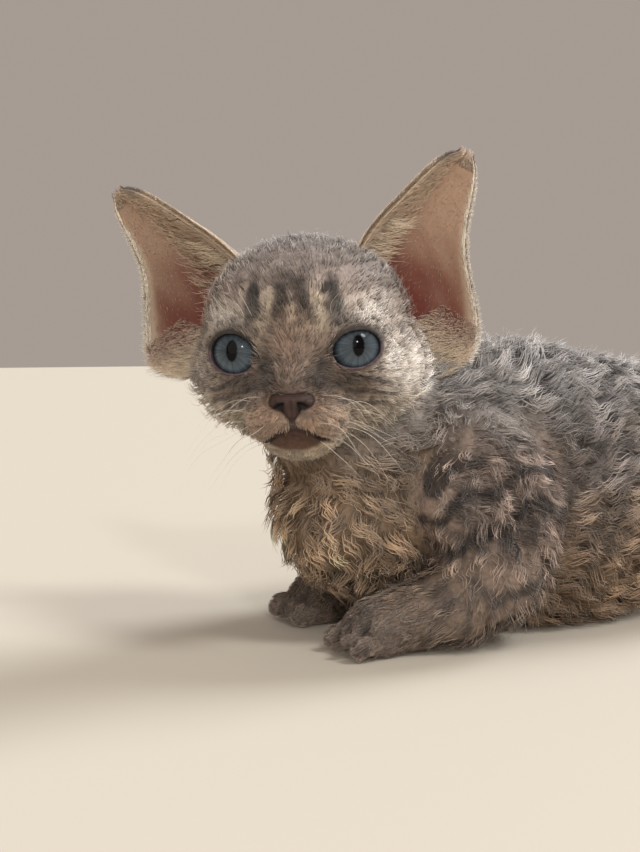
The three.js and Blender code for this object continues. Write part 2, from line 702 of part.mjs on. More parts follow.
const upperFields = SIDES.flatMap(([side]) => [armShape(side), thighShape(side)]);
const lowerFields = SIDES.flatMap(([side]) => [forearmShape(side), shankShape(side)]);
const neckLocks = growLocks({
  field: neckShape,
  centres: [NECK_FOOT, NECK_TOP, vec(-42, 0, 48)],
  lie: () => vec(0.8, 0, -0.7),
  keep: keepOff([torsoShape, ...upperFields], [headField, ...earRoots]),
  size: 0.7,
  seed: 31,
});
const neck = cut(join(neckCore(0), ...neckLocks(0)), torsoClear, headClear);

// The coat of the trunk lies back and down, steeply so on the breast and on the rump.
function trunkLie(p) {
  const breast = THREE.MathUtils.smoothstep(-p.x, 30, 52);
  const rump = THREE.MathUtils.smoothstep(p.x, 82, 98);
  const flank = Math.min(Math.abs(p.y) / 22, 1);
  return vec(1 - 0.6 * breast - 0.5 * rump, 0, -0.1 - 0.45 * flank - breast - rump);
}
const trunkLocks = (front) =>
  growLocks({
    field: torsoShape,
    centres: TORSO_SPINE,
    lie: trunkLie,
    keep: (p) =>
      (front ? p.x < TORSO_SPLIT - LOCK_OFF : p.x > TORSO_SPLIT + GAP + LOCK_OFF) &&
      keepOff([neckShape, ...upperFields], [headField, tailField, ...lowerFields, ...earRoots])(p),
    size: 1,
    seed: front ? 41 : 43,
  })(0);
const slabAt = (x) => boxSolid(vec(x, -80, -10), vec(x + GAP, 80, 120));
const trunkCores = cut(torsoCore, slabAt(TORSO_SPLIT), headClear)
  .decompose()
  .sort((a, b) => a.boundingBox().min[0] - b.boundingBox().min[0]);
const chest = join(trunkCores[0], ...trunkLocks(true));
const abdomen = join(trunkCores[1], ...trunkLocks(false));

function addLegs([side, word], i) {
  const at = (p) => onSide(side, p);
  const wrist = at(FRONT.wrist).add(pawShift(side));
  const forearmPath = alongPath([at(FRONT.elbow), forearmMiddle(side), wrist], 5, [50, 20]);
  const forearm = (height) => solid(wrap(forearmShape(side), forearmPath, 12, height));
  const shankPath = alongPath([at(HIND.knee), at(vec(70, -24, 19)), at(HIND.hock)], 5, [50, 20]);
  const shank = (height) => solid(wrap(shankShape(side), shankPath, 12, height));
  const frontPaw = pawSolid(wrist, at(FRONT_PAW_MIDDLE).add(pawShift(side)), FRONT_PAW);
  const hindPaw = pawSolid(at(HIND.ankle), at(HIND_PAW_MIDDLE), HIND_PAW);
  addNode(`upper_arm_${word}`, arms[i].made, COAT);
  addNode(`forearm_${word}`, cut(forearm(0), arms[i].clear, bodyClear, UNDER_FLOOR), COAT);
  addNode(`front_paw_${word}`, cut(frontPaw, forearm(GAP), arms[i].clear, bodyClear), COAT);
  addNode(`thigh_${word}`, thighs[i].made, COAT);
  addNode(`shank_${word}`, cut(shank(0), thighs[i].clear, bodyClear, UNDER_FLOOR), COAT);
  addNode(`hind_paw_${word}`, cut(hindPaw, shank(GAP), thighs[i].clear, bodyClear), COAT);
}

function addTail() {
  const whole = cut(solid(wrap(tailField, alongPath(TAIL_PATH, 18, [50, 20]), 8)), torsoClear, UNDER_FLOOR);
  const parts = cut(whole, ...TAIL_SPLITS.map(slabAt))
    .decompose()
    .sort((a, b) => a.boundingBox().min[0] - b.boundingBox().min[0]);
  ["tail_root", "tail_middle", "tail_tip"].forEach((name, i) => addNode(name, parts[i], COAT));
}

addNode("chest", chest, COAT);
addNode("abdomen", abdomen, COAT);
addNode("neck", neck, COAT);
addNode("head", buildHead(), FACE);
addNode("nose", cut(noseSolid(0), nostril(1), nostril(-1)), NOSE);
for (const [side, word] of SIDES) {
  addNode(`eye_${word}`, eyeball(side), EYE);
  addNode(`ear_${word}`, cut(earSolid(side, side > 0 ? EAR_LEFT : EAR_RIGHT), headClear, neckClear), EAR);
}
SIDES.forEach(addLegs);
addTail();

const box = new THREE.Box3().setFromObject(kitten, true);
const middle = box.getCenter(new THREE.Vector3());
kitten.position.set(-middle.x, -middle.y, 0);

export default kitten;
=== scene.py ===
import math

import bpy
import numpy as np
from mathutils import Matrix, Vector
from mathutils.kdtree import KDTree


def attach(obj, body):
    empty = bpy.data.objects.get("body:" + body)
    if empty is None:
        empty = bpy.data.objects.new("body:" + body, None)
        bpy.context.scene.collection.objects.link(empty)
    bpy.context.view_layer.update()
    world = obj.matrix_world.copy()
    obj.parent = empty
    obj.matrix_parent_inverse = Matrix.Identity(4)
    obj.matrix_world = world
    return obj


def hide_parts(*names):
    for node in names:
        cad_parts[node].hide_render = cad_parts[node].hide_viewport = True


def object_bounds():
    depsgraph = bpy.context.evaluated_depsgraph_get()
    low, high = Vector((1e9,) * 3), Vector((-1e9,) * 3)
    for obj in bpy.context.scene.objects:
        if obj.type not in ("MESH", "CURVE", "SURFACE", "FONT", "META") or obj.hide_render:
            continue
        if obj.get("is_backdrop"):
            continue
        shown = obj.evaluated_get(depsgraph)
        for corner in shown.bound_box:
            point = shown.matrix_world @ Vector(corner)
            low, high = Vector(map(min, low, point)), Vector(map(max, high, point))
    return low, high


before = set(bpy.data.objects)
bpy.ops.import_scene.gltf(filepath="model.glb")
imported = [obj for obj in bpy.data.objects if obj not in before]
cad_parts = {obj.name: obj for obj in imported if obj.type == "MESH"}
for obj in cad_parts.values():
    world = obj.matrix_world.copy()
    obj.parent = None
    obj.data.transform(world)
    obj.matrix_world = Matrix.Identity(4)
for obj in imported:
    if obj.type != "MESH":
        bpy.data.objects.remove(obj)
cad_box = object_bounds()

# The forms are built in the working frame of the solids: millimetres, body facing -X, left side facing -Y,
# floor at z = 0. SHIFT moves them into the row frame.
MM = 0.001
RNG = np.random.default_rng(7)


def vec(*values):
    return np.array(values, float)


def unit(a):
    return a / (np.linalg.norm(a, axis=-1, keepdims=True) + 1e-12)


def turn(axis, angle):
    c, s = math.cos(math.radians(angle)), math.sin(math.radians(angle))
    x, y, z = axis
    return np.array([
        [c + x * x * (1 - c), x * y * (1 - c) - z * s, x * z * (1 - c) + y * s],
        [y * x * (1 - c) + z * s, c + y * y * (1 - c), y * z * (1 - c) - x * s],
        [z * x * (1 - c) - y * s, z * y * (1 - c) + x * s, c + z * z * (1 - c)],
    ])


# Distance fields


def ellipsoid(centre, radii, lean=0.0):
    centre, radii = vec(*centre), vec(*radii)
    back = turn((0, 1, 0), lean)

    def field(p):
        q = (p - centre) @ back
        k0 = np.linalg.norm(q / radii, axis=1)
        k1 = np.linalg.norm(q / radii**2, axis=1)
        return np.where(k1 < 1e-9, -radii.min(), k0 * (k0 - 1) / np.maximum(k1, 1e-9))

    return field


def limb(start, end, start_radius, end_radius):
    start, end = vec(*start), vec(*end)
    span = end - start

    def field(p):
        q = p - start
        along = np.clip(q @ span / (span @ span), 0, 1)
        away = np.linalg.norm(q - along[:, None] * span, axis=1)
        return away - (start_radius + (end_radius - start_radius) * along)

    return field


def smooth_min(a, b, softness):
    near = np.maximum(softness - np.abs(a - b), 0) / softness
    return np.minimum(a, b) - near * near * softness / 4


def smooth_max(a, b, softness):
    return -smooth_min(-a, -b, softness)


def blend(softness, *shapes):
    def field(p):
        out = shapes[0](p)
        for shape in shapes[1:]:
            out = smooth_min(out, shape(p), softness)
        return out

    return field


def slope(field, p, e=0.3):
    out = np.empty_like(p)
    for axis in range(3):
        shift = np.zeros(3)
        shift[axis] = e
        out[:, axis] = field(p + shift) - field(p - shift)
    return unit(out)


def wander(p, size, seed):
    """Smooth noise from -1 to 1, made of a few waves in seeded directions."""
    rng = np.random.default_rng(seed)
    out = np.zeros(len(p))
    for _ in range(7):
        direction = unit(rng.normal(size=3)) * (2 * np.pi / size) * rng.uniform(0.6, 1.6)
        out += np.sin(p @ direction + rng.uniform(0, 6.28))
    return out / 4.0


def mix(a, b, t):
    t = np.clip(t, 0, 1)[:, None]
    return a * (1 - t) + np.asarray(b) * t


def step(x, low, high):
    t = np.clip((x - low) / (high - low), 0, 1)
    return t * t * (3 - 2 * t)


def spot(h, centre, radii):
    return np.exp(-(((h - vec(*centre)) / vec(*radii)) ** 2).sum(axis=1))


torso = blend(
    14,
    ellipsoid((-4, 0, 37), (46, 26, 28)),
    ellipsoid((-37, 0, 32), (25, 20.5, 21)),
    ellipsoid((-1, 0, 51), (30, 19, 19.5)),
    ellipsoid((17, 0, 29), (34, 25, 26.5)),
    ellipsoid((18, 12, 17), (28, 13, 15.5)),
    ellipsoid((18, -12, 17), (28, 13, 15.5)),
    ellipsoid((38, 0, 34), (34, 25, 26)),
    limb((10, 0, 49), (70, 0, 43), 20, 20),
    ellipsoid((74, 0, 38), (27, 25, 25)),
)
neck = blend(8, limb((-23, 0, 48), (-46, 2, 62), 21.5, 18), limb((-38, 0, 38), (-53, 0, 53), 18, 13.5))


def on_side(side, p):
    return (p[0], p[1] * side, p[2])


# The far foot is set back a little.
PAW_BACK = 4
FRONT_PAW, HIND_PAW, HIND_SPREAD = (-47, -19, 5.2), (62, -23, 4.8), 0.94
ELBOW, WRIST = (-17, -27, 17.5), (-37, -20.5, 8.4)
KNEE, HOCK, ANKLE = (51, -25, 25), (88, -22.5, 13), (72, -23, 8.5)


def moved(p, x):
    return (p[0] + x, p[1], p[2])


def beside_gap(p, middle, spread):
    """Distance sideways from the nearest of the gaps between the toes of a foot."""
    return np.min([np.abs(p[:, 1] - middle - gap * spread) for gap in (-4.0, 0.0, 4.0)], axis=0)


def arm(side):
    elbow = on_side(side, ELBOW)
    return blend(
        8,
        ellipsoid(on_side(side, (-13, -20, 38)), (17, 12, 21), -10),
        limb(on_side(side, (-25, -21, 35)), elbow, 12.5, 11.2),
        limb(on_side(side, (-9, -22, 35)), elbow, 11, 10.4),
    )


def forearm(side):
    back = 0 if side > 0 else PAW_BACK
    middle = moved(on_side(side, (-27, -24, 11)), back / 2)
    wrist = moved(on_side(side, WRIST), back)
    return blend(5, limb(on_side(side, ELBOW), middle, 9, 9.4), limb(middle, wrist, 9.4, 7.4))


def thigh(side):
    ham = ellipsoid(on_side(side, (70, -17, 34)), (25, 12, 22), 20)
    return blend(9, ham, limb(on_side(side, (76, -15, 40)), on_side(side, KNEE), 15, 11.5))


def shank(side):
    knee, hock, ankle = (on_side(side, p) for p in (KNEE, HOCK, ANKLE))
    return blend(5, limb(knee, hock, 10, 6), limb(hock, ankle, 6, 6.4))


def paw(root, centre, body, heel, top, reach, spread=1.0):
    """A foot with four toes, parted by creases; reach is how far the toes lie ahead of its middle."""
    centre = vec(*centre)
    foot = blend(3, limb(root, (*centre[:2], root[2] * 0.8), heel, top), ellipsoid(centre, body))
    toes = []
    for across, ahead, size in [(-5.9, -1.6, 0.92), (-2.1, 0, 1), (2.1, 0, 1), (5.9, -1.6, 0.92)]:
        ball = (centre[0] - reach - ahead, centre[1] + across * spread, 4.1 * size)
        toes.append(ellipsoid(ball, (5 * size, 2.6 * size, 4.5 * size)))
        toes.append(limb((centre[0] - 1, centre[1] + across * spread * 0.75, 5.6), ball, 2.6, 2.9 * size))
    toe_set = blend(0.7, *toes)

    def field(p):
        f = smooth_min(foot(p), toe_set(p), 1.2)
        ahead = np.clip((centre[0] - p[:, 0]) / 4, 0, 1)
        return smooth_max(f, 1.7 * ahead - np.hypot(beside_gap(p, centre[1], spread), f * 0.7), 0.6)

    return field


def front_paw(side):
    back = 0 if side > 0 else PAW_BACK
    wrist, centre = moved(on_side(side, WRIST), back), moved(on_side(side, FRONT_PAW), back)
    return paw(wrist, centre, (9.5, 8.2, 7), 7.4, 6.6, 7.2)


def hind_paw(side):
    return paw(on_side(side, ANKLE), on_side(side, HIND_PAW), (10.5, 7.6, 6.4), 6, 5.6, 8.4, HIND_SPREAD)


TAIL = [
    (92, 0, 47), (106, 1, 38), (118, 4, 22), (132, 8, 8.5),
    (150, 8, 4.2), (168, 1, 3.9), (182, -12, 3.6), (190, -27, 3.3),
]


def catmull(points, count):
    """Evenly spaced points of a smooth curve through the given ones."""
    p = [vec(*q) for q in points]
    p = [2 * p[0] - p[1], *p, 2 * p[-1] - p[-2]]
    out = []
    for a, b, c, d in zip(p, p[1:], p[2:], p[3:]):
        for t in np.linspace(0, 1, 24, endpoint=False):
            bend = (2 * a - 5 * b + 4 * c - d) * t**2 + (3 * b - a - 3 * c + d) * t**3
            out.append(0.5 * (2 * b + (c - a) * t + bend))
    out = np.array([*out, p[-2]])
    length = np.concatenate([[0], np.cumsum(np.linalg.norm(np.diff(out, axis=0), axis=1))])
    at = np.linspace(0, length[-1], count)
    return np.stack([np.interp(at, length, out[:, i]) for i in range(3)], axis=1)


TAIL_LINE = catmull(TAIL, 26)
TAIL_RADII = 3.1 + (8 - 3.1) * (1 - np.linspace(0, 1, 26)) ** 1.7
TAIL_STEPS = zip(TAIL_LINE, TAIL_LINE[1:], TAIL_RADII, TAIL_RADII[1:])
tail = blend(2, *[limb(*ends) for ends in TAIL_STEPS])

# The head's own frame: x forward, y to the kitten's left, z up.
HEAD_TURN = turn((0, 0, 1), -125) @ turn((0, 1, 0), 2) @ turn((1, 0, 0), 2.5)
HEAD_CENTRE = vec(-56, -2.5, 71.6)


def to_head(p):
    return (p - HEAD_CENTRE) @ HEAD_TURN


def from_head(p):
    return p @ HEAD_TURN.T + HEAD_CENTRE


EYE_RADIUS = 7.3
EYE_CENTRES = {1: vec(12.6, 12.8, 0), -1: vec(12.6, -12.8, 0)}
LIDS = {1: (11.0, 4.25, 4.0), -1: (11.0, 4.7, 4.3)}
LID_SLANT = 12


def eye_frame(side):
    forward = unit(vec(math.cos(math.radians(13)), side * math.sin(math.radians(13)), 0.02))
    left = unit(np.cross(vec(0, 0, 1), forward))
    return np.stack([forward, left, np.cross(forward, left)], axis=1)


EYE_FRAMES = {side: eye_frame(side) for side in (1, -1)}
head_form = blend(
    5,
    ellipsoid((-6, 0, 7), (27, 25, 20.5)),
    ellipsoid((6, 0, 3.5), (14.5, 20, 14.5)),
    ellipsoid((-1, 15.5, -4.5), (17, 14, 13)),
    ellipsoid((-1, -14.5, -4.5), (17, 13.5, 12.5)),
    limb((6, 10, -13), (-6, 14, -9), 8, 10),
    limb((6, -10, -13), (-6, -14, -9), 8, 10),
    limb((10, 0, 1), (23.5, 0, -7.5), 8.5, 5),
    ellipsoid((16.5, 0, -13), (11.5, 11, 8)),
    ellipsoid((19.5, 5, -14.5), (8.2, 6.6, 5.6)),
    ellipsoid((19.5, -5, -14.5), (8.2, 6.6, 5.6)),
    ellipsoid((15.5, 0, -20), (8.2, 8, 4.8)),
    limb((9, 0, -15), (-12, 0, -8), 9.5, 15),
    ellipsoid(EYE_CENTRES[1], (9, 9, 9)),
    ellipsoid(EYE_CENTRES[-1], (9, 9, 9)),
)
NOSE = vec(26.4, 0, -10.7)
nose_form = blend(
    2.5,
    ellipsoid(NOSE + vec(-0.2, 0, 0.4), (2.9, 3.6, 1.9)),
    ellipsoid(NOSE + vec(-0.6, 3.2, 0.1), (2.4, 1.9, 1.6)),
    ellipsoid(NOSE + vec(-0.6, -3.2, 0.1), (2.4, 1.9, 1.6)),
    ellipsoid(NOSE + vec(0, 0, -2.2), (2.2, 1.5, 2.2)),
)
MOUTH_TOP, MOUTH_HALF, MOUTH_DROP = -16.0, 7.3, 3.8


def lid_edge(side, h):
    """How far outside the opening between the lids a point lies, and its place and height at the eye."""
    q = (h - EYE_CENTRES[side]) @ EYE_FRAMES[side]
    slant = math.radians(LID_SLANT)
    out, rise = q[:, 1] * side, q[:, 2]
    across = out * math.cos(slant) + rise * math.sin(slant)
    height = -out * math.sin(slant) + rise * math.cos(slant)
    width, above, under = LIDS[side]
    limit = np.where(height > 0, above, under)
    share = (np.abs(across / (width / 2)) ** 1.95 + np.abs(height / limit) ** 2.1) ** 0.5
    return (share - 1) * limit, q, height


def mouth_distance(h):
    """Distance in the plane of the face from the line of the mouth and the groove above it."""
    across = np.clip(h[:, 1], -MOUTH_HALF, MOUTH_HALF)
    line = MOUTH_TOP - MOUTH_DROP * np.abs(across / MOUTH_HALF) ** 1.5
    arc = np.hypot(h[:, 1] - across, (h[:, 2] - line) * 0.9)
    up = np.clip(h[:, 2], MOUTH_TOP, -13.2)
    return arc, np.hypot(h[:, 1], h[:, 2] - up)


HEAD_SKIN = 1.1
# Height, place to the left and lean of each crease over the brow.
BROW_CREASES = [(12.5, 5.5, 0.5), (15.5, 4.5, 0.35), (12.5, -5.5, -0.5), (15.5, -4.5, -0.35)]


def head_skin(h):
    """The head's skin: the form of the solids less its short coat, with lids, mouth and folds."""
    f = head_form(h) + HEAD_SKIN
    front = h[:, 0] > 10
    arc, groove = mouth_distance(h)
    lips = np.exp(-((arc - 1.5) / 1.0) ** 2) * front * (np.abs(h[:, 1]) < 8.5)
    f = f - 0.28 * lips
    for side in (1, -1):
        edge, q, height = lid_edge(side, h)
        ahead = q[:, 0] > 0
        rim = np.hypot(edge - 0.34, np.linalg.norm(q, axis=1) - (EYE_RADIUS + 0.4)) - 0.5
        f = np.where(ahead, smooth_min(f, rim, 0.8), f)
        # The fold over the upper lid and the hollow under the inner corner.
        fold = np.exp(-((edge - 2.6) / 0.55) ** 2) * (height > 0.6) * ahead
        f = f + 0.42 * fold
        under = np.exp(-((edge - 2.0) / 0.5) ** 2) * (height < -0.8) * ahead
        f = f + 0.22 * under
        f = np.where(ahead, np.maximum(f, -edge), f)
    carve = np.where(front, np.minimum(arc - 0.1, groove + 0.15), 9)
    f = smooth_max(f, 0.75 - np.hypot(carve, f * 0.9), 0.5)
    for height, left, lean in BROW_CREASES:
        rise, aside = h[:, 2] - height - lean * (h[:, 1] - left), h[:, 1] - left
        crease = np.exp(-(rise / 0.7) ** 2 - (aside / 4.5) ** 2)
        f = f + 0.2 * crease * front
    return f


def within(shape, low, high, far=40.0):
    """The field inside a box round the shape, and a large distance outside it."""
    low, high = vec(*low), vec(*high)

    def field(p):
        out = np.full(len(p), far)
        near = ((p > low) & (p < high)).all(axis=1)
        if near.any():
            out[near] = shape(p[near])
        return out

    return field


PARTS = [(torso, 2.4), (within(neck, (-82, -34, 10), (10, 34, 92)), 2.2)]
for side in (1, -1):
    for shape, depth, x, y, z in [
        (arm, 2.2, (-50, 20), (-50, 2), (-2, 74)),
        (forearm, 1.3, (-60, 12), (-50, 2), (-8, 38)),
        (front_paw, 0.7, (-72, -16), (-42, 0), (-8, 26)),
        (thigh, 2.2, (26, 108), (-48, 6), (0, 68)),
        (shank, 1.3, (34, 106), (-48, 0), (-8, 46)),
        (hind_paw, 0.7, (34, 92), (-42, -4), (-8, 26)),
    ]:
        low, high = sorted((y[0] * side, y[1] * side))
        PARTS.append((within(shape(side), (x[0], low, z[0]), (x[1], high, z[1])), depth))
PARTS.append((within(tail, (78, -40, -8), (204, 24, 66)), 1.2))
head_within = within(lambda p: head_form(to_head(p)), (-104, -50, 30), (-10, 46, 116))


def body_skin(p):
    out = None
    for shape, depth in PARTS:
        value = shape(p) + depth
        out = value if out is None else smooth_min(out, value, 3.5)
    return out


def skin(p):
    return smooth_min(body_skin(p), head_within(p) + HEAD_SKIN, 4)


def skin_at_head(h):
    return smooth_min(body_skin(from_head(h)), head_skin(h), 4)


# Meshes


def surface_net(field, low, high, pitch, coarse=5):
    """Vertices and quads of a field's zero surface, on a grid that is worked out only near the surface."""
    axes = [a + pitch * np.arange(coarse * (int((b - a) / pitch / coarse) + 1)) for a, b in zip(low, high)]
    rough = [a[coarse // 2 :: coarse] for a in axes]
    grid = np.stack(np.meshgrid(*rough, indexing="ij"), axis=-1).reshape(-1, 3)
    value = field(grid).reshape([len(a) for a in rough])
    for axis in range(3):
        value = np.repeat(value, coarse, axis=axis)
    near = np.argwhere(np.abs(value) < pitch * coarse * 1.25)
    points = np.stack([axes[i][near[:, i]] for i in range(3)], axis=1)
    value[tuple(near.T)] = field(points)
    cells = np.array(value.shape) - 1
    total = np.zeros((*cells, 3))
    count = np.zeros(cells)
    quads = []
    for axis in range(3):
        one, two = (axis + 1) % 3, (axis + 2) % 3
        v = np.moveaxis(value, [axis, one, two], [0, 1, 2])
        crossing = (v[:-1, 1:-1, 1:-1] < 0) != (v[1:, 1:-1, 1:-1] < 0)
        at = np.argwhere(crossing) + [0, 1, 1]
        a, b = v[at[:, 0], at[:, 1], at[:, 2]], v[at[:, 0] + 1, at[:, 1], at[:, 2]]
        point = np.zeros((len(at), 3))
        point[:, axis] = at[:, 0] + a / (a - b)
        point[:, one], point[:, two] = at[:, 1], at[:, 2]
        around = []
        for du, dv in [(-1, -1), (0, -1), (0, 0), (-1, 0)]:
            cell = np.zeros((len(at), 3), int)
            cell[:, axis], cell[:, one], cell[:, two] = at[:, 0], at[:, 1] + du, at[:, 2] + dv
            np.add.at(total, tuple(cell.T), point)
            np.add.at(count, tuple(cell.T), 1)
            around.append(np.ravel_multi_index(tuple(cell.T), cells))
        quad = np.stack(around, axis=1)
        quads.append(np.where((a < 0)[:, None], quad, quad[:, ::-1]))
    quads = np.concatenate(quads)
    used, index = np.unique(quads, return_inverse=True)
    points = total.reshape(-1, 3)[used] / count.reshape(-1)[used][:, None]
    points = np.array(low) + points * pitch
    for _ in range(2):
        points -= slope(field, points, 0.15) * np.clip(field(points), -pitch, pitch)[:, None] * 0.9
    return points, index.reshape(-1, 4)


def shift_of_the_frame():
    """The eyeballs' centres in the row frame, set against where they are in the working frame."""
    out = []
    for side, name in ((1, "eye_left"), (-1, "eye_right")):
        p = np.array([v.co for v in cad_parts[name].data.vertices]) / MM
        fit = np.linalg.lstsq(np.c_[2 * p, np.ones(len(p))], (p**2).sum(1), rcond=None)[0][:3]
        out.append(fit - from_head(EYE_CENTRES[side]))
    return np.mean(out, axis=0)


SHIFT = shift_of_the_frame()


def mesh_object(name, points, faces, slot, *nodes):
    """An object from points of the working frame and faces of one size."""
    points, faces = np.asarray(points, float), np.asarray(faces, np.int32)
    mesh = bpy.data.meshes.new(name)
    size = faces.shape[1]
    mesh.vertices.add(len(points))
    mesh.vertices.foreach_set("co", ((points + SHIFT) * MM).astype(np.float32).ravel())
    mesh.loops.add(faces.size)
    mesh.loops.foreach_set("vertex_index", faces.ravel())
    mesh.polygons.add(len(faces))
    mesh.polygons.foreach_set("loop_start", np.arange(0, faces.size, size, dtype=np.int32))
    mesh.polygons.foreach_set("use_smooth", np.ones(len(faces), bool))
    mesh.update(calc_edges=True)
    piece = bpy.data.objects.new(name, mesh)
    bpy.context.scene.collection.objects.link(piece)
    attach(piece, "root")
    if nodes:
        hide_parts(*nodes)
    return piece


def keep_faces(points, faces, keep):
    faces = faces[keep[faces].all(axis=1)]
    used, index = np.unique(faces, return_inverse=True)
    return points[used], index.reshape(-1, faces.shape[1])


def set_tint(piece, colours):
    layer = piece.data.color_attributes.new("Tint", "FLOAT_COLOR", "POINT")
    rgba = np.ones((len(colours), 4), np.float32)
    rgba[:, :3] = colours
    layer.data.foreach_set("color", rgba.ravel())
    return piece


# Skin

HEAD_MIDDLE = vec(-3, 0, -3)
HEAD_REACH, HEAD_BOX, OVERLAP = 34.0, 35.0, 2.0
BODY_STEP, HEAD_STEP, NOSE_STEP = 1.2, 0.5, 0.26

body_points, body_faces = surface_net(skin, (-78, -44, -0.6), (200, 44, 92), BODY_STEP)
inside = np.linalg.norm(to_head(body_points) - HEAD_MIDDLE, axis=1) > HEAD_REACH - OVERLAP
body_points, body_faces = keep_faces(body_points, body_faces, inside)
head_low, head_high = HEAD_MIDDLE - HEAD_BOX, HEAD_MIDDLE + HEAD_BOX
head_points, head_faces = surface_net(skin_at_head, head_low, head_high, HEAD_STEP)
keep = np.linalg.norm(head_points - HEAD_MIDDLE, axis=1) < HEAD_REACH
head_points, head_faces = keep_faces(head_points, head_faces, keep)
skin_points = np.concatenate([body_points, from_head(head_points)])
skin_points[:, 2] = np.maximum(skin_points[:, 2], 0.05)
skin_faces = np.concatenate([body_faces, head_faces + len(body_points)])
FLESH = [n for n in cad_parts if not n.startswith(("eye_", "ear_")) and n != "nose"]
skin_piece = mesh_object("skin", skin_points, skin_faces, "coat", *FLESH)

# Eyes

CAMERA = vec(-196.7, -274.6, 74.0)
CAMERA_RIGHT = vec(0.883, -0.469, 0)
# How far each pupil turns aside and up from the camera.
GAZES = {1: (0.150, 0.103), -1: (-0.353, 0.085)}
CORNEA_RISE, CORNEA_EDGE = 0.55, 0.82
IRIS_RADIUS = 6.3
IRIS_INNER, IRIS_MIDDLE = vec(0.046, 0.056, 0.064), vec(0.074, 0.096, 0.116)
IRIS_EDGE = vec(0.004, 0.006, 0.011)
EYE_WHITE, PUPIL = vec(0.045, 0.035, 0.033), vec(0.0012, 0.0012, 0.0018)


def ball(centre, radius, forward, rings=64, sides=72):
    """A sphere with a raised clear front, and the two angles of each point: from its pole and round it."""
    side = unit(np.cross(vec(0, 0, 1), forward))
    up = np.cross(forward, side)
    angles = np.pi * (np.linspace(0, 1, rings + 1) ** 1.3)
    turns = 2 * np.pi * np.arange(sides) / sides
    polar, azimuth = (g.ravel() for g in np.meshgrid(angles, turns, indexing="ij"))
    bulge = CORNEA_RISE * np.maximum(0, 1 - (polar / CORNEA_EDGE) ** 2) ** 1.3
    outward = np.outer(np.cos(azimuth), side) + np.outer(np.sin(azimuth), up)
    outward = np.cos(polar)[:, None] * forward + np.sin(polar)[:, None] * outward
    grid = np.arange(len(polar)).reshape(rings + 1, sides)
    after = np.roll(grid, -1, axis=1)
    faces = np.stack([grid[:-1], grid[1:], after[1:], after[:-1]], axis=-1).reshape(-1, 4)
    return centre + (radius + bulge)[:, None] * outward, faces, polar, azimuth


def eye_colours(polar, azimuth):
    """Pupil, iris with its rings, dark limbus and the white that stays under the lids."""
    radius = EYE_RADIUS * np.sin(np.minimum(polar, 1.5))
    x, y = radius * np.cos(azimuth), radius * np.sin(azimuth)
    rays = 0.5 + 0.5 * np.sin(azimuth * 37 + 3 * np.sin(azimuth * 5)) * np.cos(azimuth * 11 + 1.3)
    ring = np.clip(radius / IRIS_RADIUS, 0, 1)
    iris = mix(np.tile(IRIS_INNER, (len(ring), 1)), IRIS_MIDDLE, (ring - 0.25) / 0.37)
    rim_share = np.where(ring < 0.62, 0, np.clip((ring - 0.58) / 0.34, 0, 1) ** 1.3)
    iris = mix(iris, IRIS_EDGE, rim_share) * (0.7 + 0.6 * rays)[:, None]
    # The iris is painted darker at the top, as the painted shadow of the upper lid, and lighter at the
    # bottom, as painted light.
    painted_lid_shadow_and_light = 1 - 0.6 * np.clip((y - 0.8) / 3.2, 0, 1) + 0.25 * np.clip((-y - 0.5) / 3.5, 0, 1)
    colour = mix(iris * painted_lid_shadow_and_light[:, None], EYE_WHITE, (radius - IRIS_RADIUS - 0.1) / 0.3)
    colour = np.where((polar > 1.2)[:, None], EYE_WHITE, colour)
    return mix(colour, PUPIL, (1.06 - np.hypot(x / 1.25, y / 2.3)) / 0.1)


EYE_PIECES = []
for side, word in ((1, "left"), (-1, "right")):
    centre = from_head(EYE_CENTRES[side])
    aside, rise = GAZES[side]
    gaze = unit(unit(CAMERA - centre) + aside * CAMERA_RIGHT + vec(0, 0, rise))
    points, faces, polar, azimuth = ball(centre, EYE_RADIUS, gaze)
    piece = mesh_object(f"eyeball_{word}", points, faces, "eye", f"eye_{word}")
    set_tint(piece, eye_colours(polar, azimuth))
    EYE_PIECES.append(piece)

# Nose leather


def nose_skin(h):
    f = nose_form(h) + 0.12
    for side in (1, -1):
        q = h - (NOSE + vec(2.1, side * 2.7, -0.7))
        q = q @ turn((1, 0, 0), side * 58) @ turn((0, 0, 1), side * 18)
        hole = np.linalg.norm(q / vec(2.0, 0.5, 1.5), axis=1) - 1
        f = smooth_max(f, -hole, 0.5)
        wing = np.hypot(h[:, 1] - side * 4.4, h[:, 2] + 11.2)
        f = f + 0.15 * np.exp(-(((wing - 1.2) / 0.35) ** 2)) * (h[:, 0] > 24)
    f = f + 0.3 * np.exp(-((h[:, 1] / 0.35) ** 2)) * (h[:, 2] < NOSE[2] + 0.6)
    return f


nose_points, nose_faces = surface_net(nose_skin, NOSE - vec(5, 7, 6), NOSE + vec(5, 7, 5), NOSE_STEP)
nose_piece = mesh_object("nose_leather", from_head(nose_points), nose_faces, "nose", "nose")

# Ears

EAR_PROFILE = np.array([
    [0, 12.6, 14], [0.14, 14, 13], [0.3, 13.4, 11], [0.46, 11.8, 8.6],
    [0.62, 9.4, 6.4], [0.76, 7.6, 4.4], [0.88, 5.8, 2.9], [0.95, 4.2, 1.8], [1.0, 2.0, 0.9],
])
EAR_LENGTH = 46.35
EARS = {1: (24, 4, 24), -1: (34, 4, 28)}
POCKETS = {1: 10, -1: 12}
SLANTS = {1: 7, -1: 1}
EAR_ROWS, EAR_ACROSS = 60, 44


def smooth_profile(share):
    """Half width and depth of the ear's scoop, with no corners between the given rows."""
    out = np.zeros((2, len(share)))
    for shift in (-0.045, -0.015, 0.015, 0.045):
        at = np.clip(share + shift * np.clip(4 * (1 - share), 0, 1), 0, 1)
        out += [np.interp(at, EAR_PROFILE[:, 0], EAR_PROFILE[:, k]) for k in (1, 2)]
    return out / 4


